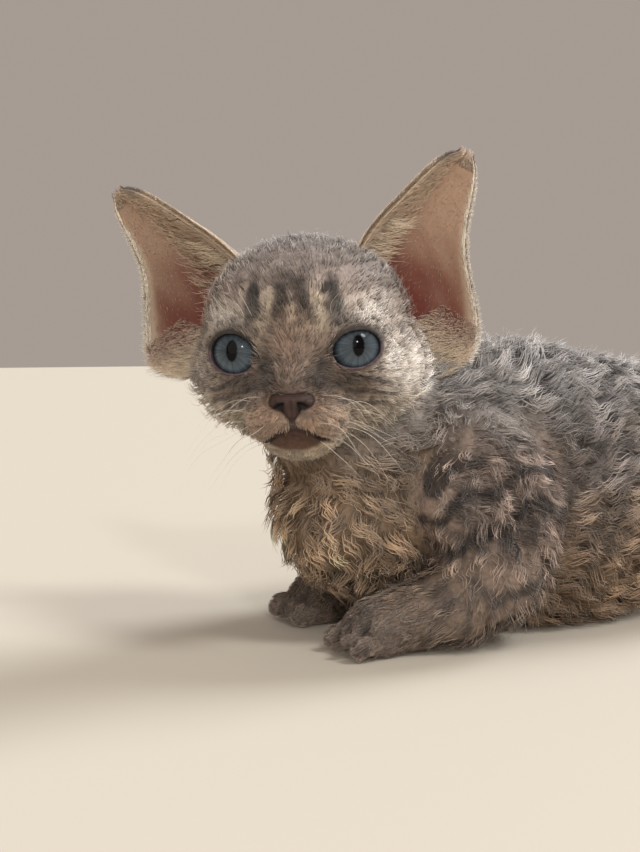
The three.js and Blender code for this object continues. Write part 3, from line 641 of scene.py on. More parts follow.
def ear_axes(side):
    lean, back, open_ = (math.radians(v) for v in EARS[side])
    flat = math.cos(back)
    axis = unit(vec(-math.sin(back), side * math.sin(lean) * flat, math.cos(lean) * flat))
    facing = vec(math.cos(open_), side * math.sin(open_), 0)
    facing = unit(facing - (facing @ axis) * axis)
    return axis, facing, unit(np.cross(axis, facing) * side)


def ear_point(side, share, across, inward=0.0):
    """A point of the ear in the head's frame; across runs from -1, the inner edge, to 1, the outer one."""
    axis, facing, lateral = ear_axes(side)
    half, depth = smooth_profile(share)
    width = half - inward * 0.6
    scoop = np.maximum(depth - inward, 0.25)
    angle = 2 * np.arctan(scoop / width)
    radius = width / np.sin(angle)
    bow = -3.5 * np.sin(np.pi * share)
    turned = angle * across
    pocket = np.where(across > 0, POCKETS[side] * np.exp(-(((share - 0.24) / 0.28) ** 2)) * across, 0)
    # Two soft folds run up inside the shell, and its edges curl a little.
    fold = 0.8 * np.exp(-(((across + 0.35) / 0.12) ** 2)) * np.exp(-(((share - 0.25) / 0.28) ** 2))
    fold = fold + 0.6 * np.exp(-(((across - 0.45) / 0.10) ** 2)) * np.exp(-(((share - 0.18) / 0.2) ** 2))
    ahead = radius * (np.cos(angle) - np.cos(turned)) + fold
    out = np.outer(radius * np.sin(turned) + pocket + 3.6 * np.maximum(share, 1e-6) ** 0.6, lateral)
    along = share * EAR_LENGTH - SLANTS[side] * (1 - share) * across
    out = vec(-6, side * 18, 4) + out
    return out + np.outer(along, axis) + np.outer(bow + ahead + inward * 0.3, facing)


def ear_inward(share, across, inner):
    """How far a face of the shell lies inside the ear's form: thin at the rim and the tip."""
    thick = 0.12 + (1 - np.minimum(np.abs(across), 1) ** 6) * (1 - np.clip(share, 0, 1) ** 8)
    return 0.25 + inner * thick


def ear_shell(side):
    shares = np.linspace(0, 1, EAR_ROWS) ** 0.95
    across = np.linspace(-1, 1, EAR_ACROSS)
    s, a = (g.ravel() for g in np.meshgrid(shares, across, indexing="ij"))
    outer = ear_point(side, s, a * 0.985, ear_inward(s, a, 0))
    inner = ear_point(side, s, a * 0.985, ear_inward(s, a, 1))
    n, m = EAR_ROWS, EAR_ACROSS
    grid = np.arange(n * m).reshape(n, m)
    quads = np.stack([grid[:-1, :-1], grid[:-1, 1:], grid[1:, 1:], grid[1:, :-1]], axis=-1).reshape(-1, 4)
    loop = np.concatenate([grid[0, :], grid[1:, -1], grid[-1, -2::-1], grid[-2:0:-1, 0]])
    after = np.roll(loop, -1)
    rim = np.stack([loop, loop + n * m, after + n * m, after], axis=-1)
    faces = np.concatenate([quads[:, ::-1], quads + n * m, rim])
    if side < 0:
        faces = faces[:, ::-1]
    return np.concatenate([outer, inner]), faces, np.tile(s, 2), np.tile(a, 2), np.repeat([0, 1], n * m)


EAR_DATA = {}
for side, word in ((1, "left"), (-1, "right")):
    points, faces, share, across, inner = ear_shell(side)
    piece = mesh_object(f"ear_shell_{word}", from_head(points), faces, "ear", f"ear_{word}")
    round_faces = np.ones(len(faces), bool)
    round_faces[2 * (EAR_ROWS - 1) * (EAR_ACROSS - 1):] = False
    piece.data.polygons.foreach_set("use_smooth", round_faces)
    EAR_DATA[side] = (piece, points, faces, share, across, inner)


# Markings

LIMBS = ("arm", "forearm", "front_paw", "thigh", "shank", "hind_paw")
REGIONS = ["torso", "neck", *(f"{n}_{w}" for w in ("left", "right") for n in LIMBS), "tail", "head"]


def region_fields(p):
    """Distances to the skin of each region, in the order of REGIONS."""
    values = [shape(p) + depth for shape, depth in PARTS] + [head_within(p) + HEAD_SKIN]
    return np.stack(values, axis=1)


def region_weights(p):
    values = region_fields(p)
    w = np.exp(-(values - values.min(axis=1, keepdims=True)) / 2.2)
    return w / w.sum(axis=1, keepdims=True)


# The group of regions that each region belongs to: trunk, each limb, tail and head.
GROUPS = np.array([0, 0, 1, 1, 1, 2, 2, 2, 3, 3, 3, 4, 4, 4, 5, 6])


def crease_at(p):
    """1 in the fold where two groups of regions meet, 0 away from it."""
    values = region_fields(p)
    best = np.stack([values[:, GROUPS == g].min(axis=1) for g in range(7)], axis=1)
    best.sort(axis=1)
    return np.exp(-(((best[:, 1] - best[:, 0]) / 3.0) ** 2))


def weight_of(w, *names):
    return sum(w[:, i] for i, n in enumerate(REGIONS) if n.startswith(names))


TAUPE = vec(0.282, 0.240, 0.216)
SILVER = vec(0.480, 0.462, 0.458)
WARM = vec(0.360, 0.240, 0.148)
SAND = vec(0.550, 0.385, 0.245)
DARK = vec(0.055, 0.044, 0.041)
CREAM = vec(0.760, 0.635, 0.480)
PALE = vec(0.745, 0.665, 0.590)
TAN = vec(0.460, 0.310, 0.205)
HEAD_BROW_SPOTS = [
    (PALE * 1.08, 0.9, (12, 17, 8.6), (9, 6, 3.4)),
    (CREAM * 0.75, 0.6, (20, 6.6, 6.4), (6, 2.2, 2.6)),
    (vec(0.33, 0.215, 0.150), 0.65, (20, 0, 4), (9, 5, 7)),
]
HEAD_NOSE_SPOTS = [
    (CREAM * 0.9, 0.5, (21, 3.0, -14.6), (5, 2.0, 1.2)),
    (TAN * 0.75, 0.75, (24, 5.5, -8.5), (4, 3, 2.6)),
    (vec(0.070, 0.044, 0.036), 0.97, (25, 0, -7.6), (5, 6.8, 2.9)),
]
# Dark patches at the inner corners of the eyes, below them and over them.
HEAD_CORNER_SPOTS = [
    (CREAM * 0.7, 0.45, (14, 12, -15), (7, 4, 4)),
    (DARK * 0.9, 0.88, (21, 6.2, -2.4), (5, 1.9, 2.6)),
    (DARK * 1.3, 0.8, (22.5, 5.8, -5.6), (5, 2.6, 2.8)),
]
HEAD_LID_SPOTS = [
    (DARK * 1.6, 0.6, (18, 13, -10.4), (6, 4.4, 0.9)),
    (DARK, 0.45, (18, 13, 6.2), (6, 6, 1.4)),
]
CHEEK_LINES = [((14, 19.5, -1.5), (-2, 27, -6), 0.9), ((13, 18, -7.5), (-1, 24, -13), 0.7)]
WHISKER_ROWS = [(row, k) for row in range(3) for k in range(4)]
WHISKER_PORES = [(22.5 - 1.3 * k, 5.0 + 1.9 * k, -12.6 - 1.9 * row - 0.2 * k) for row, k in WHISKER_ROWS]


def with_spots(colour, at, rows):
    for tint, strength, centre, radii in rows:
        colour = mix(colour, tint, strength * spot(at, centre, radii))
    return colour


def head_colour(h):
    x, y, z = h[:, 0], np.abs(h[:, 1]), h[:, 2]
    at = np.c_[x, y, z]
    n, fine = wander(h, 9, 21), wander(h, 3.4, 77)
    colour = mix(np.tile(vec(0.285, 0.215, 0.165), (len(h), 1)), SILVER * 0.95, 0.7 * step(z + n, 8, 22))
    colour = mix(colour, TAUPE * 0.95 + vec(0.030, 0, -0.012), step(x, -2, 12) * step(z, 4, 12) * 0.6)
    colour = mix(colour, TAUPE, 0.8 * step(-x, 2, 12))
    # Stripes that run from the brow towards the crown.
    brow = step(z + 1.2 * n + 0.16 * y, 6.2, 9.5) * step(15 - y, 0, 4)
    reach = 0.16 + 0.84 * step(19.5 - z + 2 * fine, 0, 5) * step(x, -4, 5)
    lines = np.cos(2 * np.pi * (y - 2.6 + 0.9 * n + 0.35 * fine + 0.07 * (z - 12)) / 6.4) * 0.5 + 0.5
    stripe = step(lines + 0.24 * fine, 0.26, 0.8)
    stripe = np.maximum(stripe, 0.8 * step(3.6 - y + 0.8 * fine, 0, 1.6) * step(z, 11.5, 14))
    between = step(1 - lines, 0.45, 0.9) * step(z, 4, 8) * step(17 - z, 0, 6) * step(13 - y, 0, 3)
    colour = mix(colour, CREAM * 0.75, 0.75 * between * step(x, 0, 8))
    colour = mix(colour, DARK * 0.5, 0.95 * brow * stripe * reach)
    colour = with_spots(colour, at, HEAD_BROW_SPOTS)
    # The fringe of the cheeks, the jaw and the lines over the cheeks.
    fringe = step(y, 15, 23) * step(-z, -8, 4) * step(x, -14, -4)
    # The pale fringe is the coat's own colour on both cheeks; it is painted stronger on the left cheek as
    # painted light and weaker on the right as painted shade.
    colour = mix(colour, PALE * 1.12, np.where(h[:, 1] > 0, 0.95, 0.45) * fringe)
    colour = mix(colour, CREAM * 0.9, 0.7 * step(-z, 8, 15) * step(y, 6, 12) * step(x, -8, 2))
    for start, end, strength in CHEEK_LINES:
        a, span = vec(*start), vec(*end) - vec(*start)
        along = np.clip((at - a) @ span / (span @ span), 0, 1)
        away = np.linalg.norm(at - a - along[:, None] * span, axis=1)
        colour = mix(colour, DARK, 0.75 * strength * np.exp(-((away / 1.4) ** 2)))
    # Muzzle, chin and the bridge of the nose.
    colour = mix(colour, vec(0.30, 0.205, 0.155), 0.8 * spot(at, (20, 0, -2), (9, 3.6, 4)))
    muzzle = step(x, 10, 22) * step(-z, 5, 12.5)
    colour = mix(colour, vec(0.42, 0.275, 0.190), 0.8 * muzzle * step(y, 0.4, 2.5))
    colour = mix(colour, CREAM, 0.65 * spot(at, (20, 8.6, -13.2), (5, 2.8, 2.4)))
    streak = np.sin(2 * np.pi * (z + 0.25 * y + 0.8 * n) / 3.1)
    here = step(y, 8, 11) * step(24 - y, 0, 5) * step(-z, 3, 6) * step(z, -16, -12) * step(x, 2, 10)
    colour = mix(colour, DARK * 1.2, 0.72 * here * step(streak, 0.1, 0.8))
    colour = with_spots(colour, at, HEAD_NOSE_SPOTS)
    colour = mix(colour, CREAM * 0.82, 0.8 * step(-z, 17.5, 20.5) * step(x, 6, 13))
    colour = with_spots(colour, at, HEAD_CORNER_SPOTS)
    colour = mix(colour, DARK * 1.2, 0.85 * spot(at, (20, 11, -7.2), (6, 5.4, 1.6)) * (1 + 0.3 * fine))
    colour = with_spots(colour, at, HEAD_LID_SPOTS)
    colour = with_spots(colour, at, [(DARK, 0.75, pore, (2.5, 0.42, 0.42)) for pore in WHISKER_PORES])
    return colour * (1 + 0.10 * n + 0.16 * fine)[:, None]


def below_lips(h):
    """How far a point lies below the mouth's line, and how deep the lower lip is there."""
    across = np.clip(np.abs(h[:, 1]) / MOUTH_HALF, 0, 1)
    return MOUTH_TOP - MOUTH_DROP * across**1.5 - h[:, 2], 1 - across**1.9


def lid_colours(h, colour):
    """Dark rims round the eyes, mauve at the lower edge, and dark lips."""
    for side in (1, -1):
        edge, q, height = lid_edge(side, h)
        ahead = (q[:, 0] > 0) & (edge < 6)
        upper = height > 0
        rim = 1 - step(edge, np.where(upper, 0.8, 0.4), np.where(upper, 1.7, 1.1))
        colour = np.where(ahead[:, None], mix(colour, DARK * 0.5, 0.95 * rim), colour)
        low = ahead * (height < -0.4) * np.exp(-(((edge - 0.15) / 0.3) ** 2))
        colour = mix(colour, vec(0.135, 0.085, 0.105), 0.8 * low)
    arc, groove = mouth_distance(h)
    below, depth = below_lips(h)
    lower_lip = step(below, -0.3, 0.3) * step(6.6 * depth - below, -0.2, 1.6) * (h[:, 0] > 12)
    lip_tint = vec(0.074, 0.029, 0.019) * (0.36 + 0.13 * np.clip(below, 0, 4))[:, None]
    colour = mix(colour, lip_tint, 0.93 * lower_lip)
    # The skin under and round the edge of the nose leather is painted near black, as painted shade.
    colour = mix(colour, vec(0.012, 0.007, 0.007), 1 - step(nose_form(h), -0.1, 0.5))
    end = step(MOUTH_HALF + 1.2 - np.abs(h[:, 1]), 0, 2.2)
    line = 1 - step(np.minimum(arc, groove + 0.2), 0.45, 1.0)
    return mix(colour, vec(0.030, 0.018, 0.016), 0.92 * end * line * (h[:, 0] > 10))


def toe_gaps(p):
    """1 in the grooves between the toes of each paw."""
    out = np.zeros(len(p))
    for side in (1, -1):
        back = 0 if side > 0 else PAW_BACK
        front, hind = moved(on_side(side, FRONT_PAW), back), on_side(side, HIND_PAW)
        for (x, y, _), spread in ((front, 1.0), (hind, HIND_SPREAD)):
            here = (np.abs(p[:, 1] - y) < 10) & (np.abs(p[:, 0] - x) < 20)
            gap = np.exp(-((beside_gap(p, y, spread) / 0.75) ** 2))
            out = np.maximum(out, here * gap * step(x - p[:, 0], 0.5, 4))
    return out


def coat_colour(p, w):
    """The coat's colour at a place of the body, with its markings, by the regions' weights."""
    x, y, z = p.T
    n, m = wander(p, 16, 3), wander(p, 34, 5)
    # The top of the back is painted silver, as painted rim light.
    base = mix(np.tile(TAUPE, (len(p), 1)), SILVER, 0.7 * step(z + 3 * m, 48, 66))
    base = mix(base, WARM * 0.95, 0.85 * step(-z - 4 * m, -38, -16))
    base = mix(base, SAND * 0.85, 0.7 * step(-z, -9, -3) * step(18 - np.abs(y), 0, 9))
    breast = step(-x + 3 * n, 22, 38) * step(56 - z, 0, 16) * weight_of(w, "torso", "neck")
    base = mix(base, SAND * (0.60 + 0.38 * step(-x, 44, 56))[:, None], 0.85 * breast)
    patches = wander(p, 26, 67)
    low = step(62 - z, 0, 18) * (1 - weight_of(w, "head"))
    base = mix(base, WARM * 1.05, 0.55 * step(patches, 0.05, 0.7) * low)
    # Broken bars down the flanks, and a dark line along the spine.
    trunk = weight_of(w, "torso")
    bars = np.sin(2 * np.pi * (x + 5 * np.sin(z / 11) + 5 * m + 2 * n) / 15.5)
    flank = step(z, 12, 26) * step(x, -34, -18)
    base = mix(base, DARK, 0.55 * trunk * step(bars + 0.4 * patches, 0.1, 0.8) * flank)
    base = mix(base, DARK, 0.40 * trunk * np.exp(-((y / 3.4) ** 2)) * step(z, 44, 56))
    # Bars round the upper legs, strong on the arms and weak on the thighs.
    on_limb = step(weight_of(w, "arm", "thigh"), 0.2, 0.55) * step(56 - z, 0, 14)
    on_thigh = step(weight_of(w, "thigh"), 0.2, 0.6)
    bands = np.sin(2 * np.pi * (z * 0.9 - 0.3 * x + 3.4 * n + 2 * m) / 9.5)
    bands = bands - 0.6 * step(wander(p, 9, 61), 0.1, 0.8)
    base = mix(base, vec(0.37, 0.275, 0.225), (0.75 - 0.4 * on_thigh) * on_limb)
    base = mix(base, DARK * 0.9, (0.9 - 0.4 * on_thigh) * on_limb * step(bands + 0.3 * m, -0.1, 0.5))
    # Lower legs, and feet with painted shade in the gaps between the toes.
    lower = weight_of(w, "forearm", "shank")
    bands = np.sin(2 * np.pi * (x + 3 * n) / 7.4) + 0.5 * wander(p, 5, 63)
    base = mix(base, TAUPE * 0.86 + vec(0.014, 0, -0.01), 0.7 * lower)
    base = mix(base, DARK, 0.68 * lower * step(bands, 0.1, 0.8))
    feet = weight_of(w, "front_paw", "hind_paw")
    base = mix(base, TAUPE * 0.84 + vec(0.020, 0, -0.014), 0.85 * feet)
    base = mix(base, DARK * 1.5, 0.5 * feet * step(wander(p, 5, 64), 0.1, 0.9))
    base = mix(base, DARK * 0.7, 0.92 * feet * toe_gaps(p))
    # Rings round the tail, and its dark tip.
    on_tail = weight_of(w, "tail")
    rings = np.sin(2 * np.pi * (x - 0.6 * z) / 12.5)
    base = mix(base, TAUPE * 0.9, 0.8 * on_tail)
    base = mix(base, DARK, 0.6 * on_tail * step(rings, 0.0, 0.6))
    base = mix(base, DARK, 0.8 * on_tail * step(-y, 12, 20) * step(x, 170, 182))
    return mix(base * (1 + 0.12 * n)[:, None], head_colour(to_head(p)), w[:, -1])


# Coat

KIND_LENGTHS = [2.1, 3.5, 7.2]
KINDS = [
    # name, places of the rings, width at each, how far a clump draws together, most strands
    ("fine", np.linspace(0, 1, 3), [0.9, 0.9, 0], 0.1, 18500),
    ("short", np.linspace(0, 1, 4), [0.9, 1.0, 0.6, 0], 0.25, 12500),
    ("middle", np.linspace(0, 1, 5), [0.8, 1.0, 0.9, 0.55, 0], 0.55, 10500),
    ("long", np.linspace(0, 1, 6), [0.75, 1.0, 1.0, 0.85, 0.5, 0], 0.72, 21500),
]
CLUMP_TONES = (0.15, 0.2, 0.24, 0.28)
# How strongly each kind of strand is painted lighter on the crests of its waves and darker in the troughs,
# as painted light and shade.
PAINTED_WAVE_LIGHT = (0, 0.1, 0.32, 0.52)
# Brightness along each strand, from root to tip: painted shade at the root and painted light at the tip.
PAINTED_STRAND_SHADE_AND_LIGHT = ([0, 0.3, 0.65, 1], [0.34, 0.76, 1.14, 1.56])
STRAY_SHARE, STRAY_SCATTER, SCATTER = 0.13, 2.3, 0.075
STRAND_REACHES, STRAND_HEIGHTS = (0.72, 1.0), (0.75, 1.15)
FLOOR_GAP = 0.25
MOST_TRIANGLES = 180000
LEAST_TINT, MOST_TINT = 0.004, 0.9
TRAITS = {
    # length, loft over the skin, sway in degrees, clump spacing, strands per square mm, width
    "torso": (8.6, 3.4, 60, 3.4, 1.9, 0.262),
    "neck": (8.2, 3.2, 60, 3.2, 1.9, 0.252),
    "arm": (7.6, 2.8, 56, 3.0, 2.3, 0.24),
    "thigh": (8.2, 3.0, 54, 3.2, 1.9, 0.252),
    "forearm": (4.6, 1.4, 30, 2.4, 3.2, 0.20),
    "shank": (4.6, 1.4, 30, 2.4, 3.0, 0.20),
    "front_paw": (1.8, 0.38, 14, 1.3, 9.0, 0.13),
    "hind_paw": (2.2, 0.50, 16, 1.4, 5.0, 0.16),
    "tail": (5.0, 1.5, 30, 2.8, 2.2, 0.30),
    "head": (3.9, 1.4, 24, 2.2, 5.0, 0.17),
}
FACE_TRAITS = {
    "fringe": (6.0, 2.0, 32, 2.4, 4.5, 0.17),
    "face": (2.9, 0.75, 14, 1.7, 9.0, 0.135),
    "muzzle": (1.9, 0.5, 12, 1.2, 14.0, 0.11),
}


def traits_at(p, w):
    """The coat's traits at each place: columns as in TRAITS."""
    table = np.array([TRAITS[n.replace("_left", "").replace("_right", "")] for n in REGIONS])
    out = w @ table
    h = to_head(p)
    head = w[:, -1]
    x, y, z = h[:, 0], np.abs(h[:, 1]), h[:, 2]
    eyes = np.min([np.linalg.norm(h - c, axis=1) for c in EYE_CENTRES.values()], axis=0)
    face = step(x, 2, 13) * step(15 - z, 0, 8)
    cheek = step(y, 14, 20) * step(-z, -4, 3) * step(14 - x, 0, 8)
    for where, kind in (
        (cheek, "fringe"),
        (face, "face"),
        (step(x, 13, 20) * step(-z, 5, 10), "muzzle"),
        (step(10.4 - eyes, 0, 1.4) * face, "muzzle"),
    ):
        out = out + (vec(*FACE_TRAITS[kind]) - out) * np.clip(head * where, 0, 1)[:, None]
    thin = weight_of(w, "tail") * step(p[:, 0] - 0.5 * p[:, 1], 170, 200)
    out[:, :2] *= 1 - 0.55 * thin[:, None]
    crease = crease_at(p)
    out[:, 0] *= 1 - 0.4 * crease
    out[:, 1] *= 1 - 0.6 * crease
    return out


def trunk_lie(p):
    breast, rump = step(-p[:, 0], 12, 34) * step(58 - p[:, 2], 0, 16), step(p[:, 0], 82, 98)
    flank = np.minimum(np.abs(p[:, 1]) / 22, 1)
    down = -0.1 - 0.45 * flank - breast - rump
    return np.stack([1 - 1.05 * breast - 0.5 * rump, 0 * breast, down], axis=1)


def lie_at(p, w):
    """The direction in which the coat lies, before it is laid along the skin."""

    def share(*names):
        return weight_of(w, *names)[:, None]

    out = share("torso") * unit(trunk_lie(p))
    out = out + share("neck") * unit(vec(0.8, 0, -0.6))
    out = out + share("arm") * unit(vec(0.4, 0, -1))
    out = out + share("thigh") * unit(vec(0.55, 0, -1))
    for side, word in ((1, "left"), (-1, "right")):
        elbow, wrist, knee, hock = (vec(*on_side(side, q)) for q in (ELBOW, WRIST, KNEE, HOCK))
        out = out + share(f"forearm_{word}") * unit(wrist - elbow)
        upper = step(p[:, 0] * 0.55 - p[:, 2] * 0.85, 12, 30)[:, None]
        out = out + share(f"shank_{word}") * unit(unit(hock - knee) * (1 - upper) + upper * vec(0.2, 0, -1))
    out = out + share("front_paw", "hind_paw") * unit(vec(-1, 0, -0.35))
    near = np.argmin(np.linalg.norm(p[:, None, :] - TAIL_LINE[None], axis=2), axis=1)
    tangents = unit(np.gradient(TAIL_LINE, axis=0))
    out = out + share("tail") * tangents[near]
    away = unit(to_head(p) - vec(36, 0, -8)) @ HEAD_TURN.T
    return out + w[:, -1:] * away


def sample_skin(points, faces, density):
    tris = np.concatenate([faces[:, [0, 1, 2]], faces[:, [0, 2, 3]]])
    corners = points[tris]
    one, two = corners[:, 1] - corners[:, 0], corners[:, 2] - corners[:, 0]
    areas = np.linalg.norm(np.cross(one, two), axis=1) / 2
    expected = areas * density[tris].mean(axis=1)
    count = int(expected.sum())
    pick = RNG.choice(len(tris), count, p=expected / expected.sum())
    u, v = RNG.random(count), RNG.random(count)
    flip = u + v > 1
    u[flip], v[flip] = 1 - u[flip], 1 - v[flip]
    c = corners[pick]
    return c[:, 0] + u[:, None] * (c[:, 1] - c[:, 0]) + v[:, None] * (c[:, 2] - c[:, 0])


def thin_out(points, gaps):
    """The points that stay when none is nearer to an earlier one than its gap."""
    tree = KDTree(len(points))
    for i, p in enumerate(points):
        tree.insert(p, i)
    tree.balance()
    gone = np.zeros(len(points), bool)
    for i, p in enumerate(points):
        if not gone[i]:
            for _, k, _ in tree.find_range(p, gaps[i]):
                if k > i:
                    gone[k] = True
    return np.flatnonzero(~gone)


def rotate(v, axis, angle):
    c, s = np.cos(angle)[:, None], np.sin(angle)[:, None]
    return v * c + np.cross(axis, v) * s + axis * (axis * v).sum(axis=1, keepdims=True) * (1 - c)


# Places along a strand, and the share of its loft that it has reached there.
LIFT = ([0, 0.12, 0.3, 0.5, 0.7, 0.87, 1.0], [-0.12, 0.40, 0.78, 0.95, 0.98, 1.02, 1.12])


def comb(roots, field, knots):
    """Guide lines: each starts at a root, follows the lie of the coat and sways as it goes."""
    w = region_weights(roots)
    traits = traits_at(roots, w)
    length, loft, sway = traits[:, 0], traits[:, 1], np.radians(traits[:, 2])
    phase = 2.6 * wander(roots, 24, 51) + RNG.uniform(-1.0, 1.0, len(roots))
    swirl = np.radians(20) * wander(roots, 38, 52) + RNG.normal(0, 0.16, len(roots))
    swirl = swirl * np.clip(length / 8, 0.15, 1)
    length = length * RNG.uniform(0.7, 1.2, len(roots))
    loft = loft * RNG.uniform(0.75, 1.15, len(roots))
    curl = RNG.uniform(-0.25, 0.55, len(roots)) * np.clip(length / 8, 0.1, 1)
    waves = RNG.uniform(0.65, 1.1, len(roots))
    at = roots.copy()
    path, normals, bands = [], [], []
    for k, t in enumerate(knots):
        off = slope(field, at)
        height = loft * (np.interp(t, *LIFT) + curl * t**3)
        at = at + off * (height - field(at))[:, None]
        path.append(at.copy())
        normals.append(off)
        # The sway's phase along the guide, later used for the painted light on wave crests and painted
        # shade in troughs.
        bands.append(np.sin(phase + 2 * np.pi * waves * t + 0.6))
        if k + 1 < len(knots):
            lie = lie_at(at, w)
            lie = unit(lie - off * (lie * off).sum(axis=1, keepdims=True))
            lie = rotate(lie, off, swirl + sway * np.sin(phase + 2 * np.pi * waves * t))
            at = at + lie * (length * (knots[k + 1] - t))[:, None]
    return np.stack(path, axis=1), np.stack(normals, axis=1), curl, np.stack(bands, axis=1)


def ribs(path, normals, width, taper):
    """Closed three-sided tapered strands. Returns points and triangles of all of them."""
    n, k = path.shape[:2]
    along = unit(np.gradient(path, axis=1))
    across = unit(np.cross(normals, along))
    up = unit(np.cross(along, across))
    half = width[:, None, None] * np.asarray(taper)[None, :, None] / 2
    ring = np.stack([path + across * half, path + up * half * 0.9, path - across * half], axis=2)[:, :-1]
    points = np.concatenate([ring.reshape(n, -1, 3), path[:, -1:]], axis=1)
    rings = k - 1
    faces = [(0, 1, 2)]
    for r in range(rings - 1):
        for s in range(3):
            a, b = 3 * r + s, 3 * r + (s + 1) % 3
            faces += [(a, a + 3, b + 3), (a, b + 3, b)]
    tip = 3 * rings
    for s in range(3):
        faces.append((3 * (rings - 1) + s, tip, 3 * (rings - 1) + (s + 1) % 3))
    faces = np.array(faces)[None] + np.arange(n)[:, None, None] * (tip + 1)
    return points.reshape(-1, 3), faces.reshape(-1, 3)


def share_of_turn(a, b):
    return np.arctan2(a, b) / (2 * np.pi) + 0.5


def unwrap(p, w):
    """A place on a flat layout of the skin: trunk, head, each limb and tail have a field of their own."""
    out = np.zeros((len(p), 2))
    main = w.argmax(axis=1)
    for i, name in enumerate(REGIONS):
        here = main == i
        if not here.any():
            continue
        q = p[here]
        if name in ("torso", "neck"):
            u = (q[:, 0] + 82) / 190 * 0.48
            v = share_of_turn(q[:, 1], 36 - q[:, 2]) * 0.48
        elif name == "head":
            h = to_head(q)
            u = 0.51 + 0.48 * share_of_turn(h[:, 1], h[:, 0])
            v = 0.48 * (np.arcsin(np.clip(h[:, 2] / np.linalg.norm(h, axis=1), -1, 1)) / np.pi + 0.5)
        elif name == "tail":
            u = (q[:, 0] - 85) / 115 * 0.48
            v = 0.86 + 0.12 * share_of_turn(q[:, 1], q[:, 2])
        else:
            column, row = (i - 2) % 6, (i - 2) // 6
            aside, rise = (q[:, 1:] - q[:, 1:].mean(axis=0)).T
            u = column / 6 + 0.15 * (q[:, 0] - q[:, 0].min()) / (np.ptp(q[:, 0]) + 1e-6)
            v = 0.5 + 0.17 * row + 0.155 * share_of_turn(aside, rise)
        out[here] = np.stack([u, v], axis=1)
    return np.clip(out, 0, 0.996)


def coat_piece(name, path, normals, width, taper, colours, patch, slot="coat"):
    """One object of strands, with its tint and its bake layout."""
    points, faces = ribs(path, normals, width, taper)
    piece = mesh_object(name, points, faces, slot)
    k = path.shape[1]
    ring = np.repeat(np.arange(k - 1), 3)
    tint = np.concatenate([colours[:, ring], colours[:, -1:]], axis=1).reshape(-1, 3)
    set_tint(piece, tint)
    rings = np.stack([np.tile([0.0, 0.5, 1.0], k - 1), ring / (k - 1)], axis=1)
    local = np.concatenate([rings, [[0.5, 1.0]]])
    uv = (patch[:, None, :] + 0.003 * local[None]).reshape(-1, 2)
    layer = piece.data.uv_layers.new(name="OFBake")
    layer.data.foreach_set("uv", uv[faces.ravel()].astype(np.float32).ravel())
    return piece


def bare_skin(p, w):
    """Where no coat grows: under the feet, inside the lids, on the lips and round the nose leather."""
    h = to_head(p)
    bare = (p[:, 2] < 0.6) | (nose_form(h) < 0.2)
    for side in (1, -1):
        edge, q, height = lid_edge(side, h)
        near = (q[:, 0] > 0) & (np.linalg.norm(q, axis=1) < 12)
        bare |= near & (edge < np.where(height > 0, 0.85, 0.6))
    arc, groove = mouth_distance(h)
    below, depth = below_lips(h)
    on_head = w[:, -1] > 0.5
    bare |= on_head & (h[:, 0] > 10) & (np.minimum(arc, groove + 0.3) < 0.9)
    bare |= on_head & (h[:, 0] > 12) & (below > -0.2) & (below < 5.6 * depth)
    return bare


def strand_paths(kind, root, tr):
    """Strands that draw together round guide lines and stand over the skin; a few stray from the rest."""
    knots, pinch = KINDS[kind][1], KINDS[kind][3]
    guides = thin_out(root, tr[:, 3])
    lines, normals, curl, bands = comb(root[guides], skin, knots)
    tree = KDTree(len(guides))
    for i, g in enumerate(guides):
        tree.insert(root[g], i)
    tree.balance()
    mine = np.array([tree.find(p)[1] for p in root])
    t = knots[None, :, None]
    offset = root - root[guides][mine]
    out = np.linalg.norm(offset, axis=1) / tr[:, 3]
    scatter = RNG.normal(size=(len(root), 1, 3)) * SCATTER * tr[:, 0][:, None, None] * t**1.5
    stray = RNG.random(len(root)) < STRAY_SHARE
    scatter[stray] *= STRAY_SCATTER
    reach = RNG.uniform(*STRAND_REACHES, len(root))[:, None, None]
    trail, off = lines[mine], normals[mine]
    path = trail[:, :1] + (trail - trail[:, :1]) * reach
    path = path + offset[:, None, :] * (1 - pinch * t**1.5) + scatter
    lift = np.interp(knots, *LIFT)[None] + curl[mine][:, None] * knots[None] ** 3
    height = tr[:, 1][:, None] * lift * (1.12 - 0.55 * np.clip(out, 0, 1.0) ** 2)[:, None]
    height = height * RNG.uniform(*STRAND_HEIGHTS, len(root))[:, None]
    height[stray] *= 1.3 + 0.4 * (kind < 3)
    flat = path.reshape(-1, 3)
    path = (flat + off.reshape(-1, 3) * ((height.ravel() - skin(flat)) * 0.85)[:, None]).reshape(path.shape)
    path[:, :, 2] = np.maximum(path[:, :, 2], FLOOR_GAP)
    return path, off, bands[mine], mine, stray


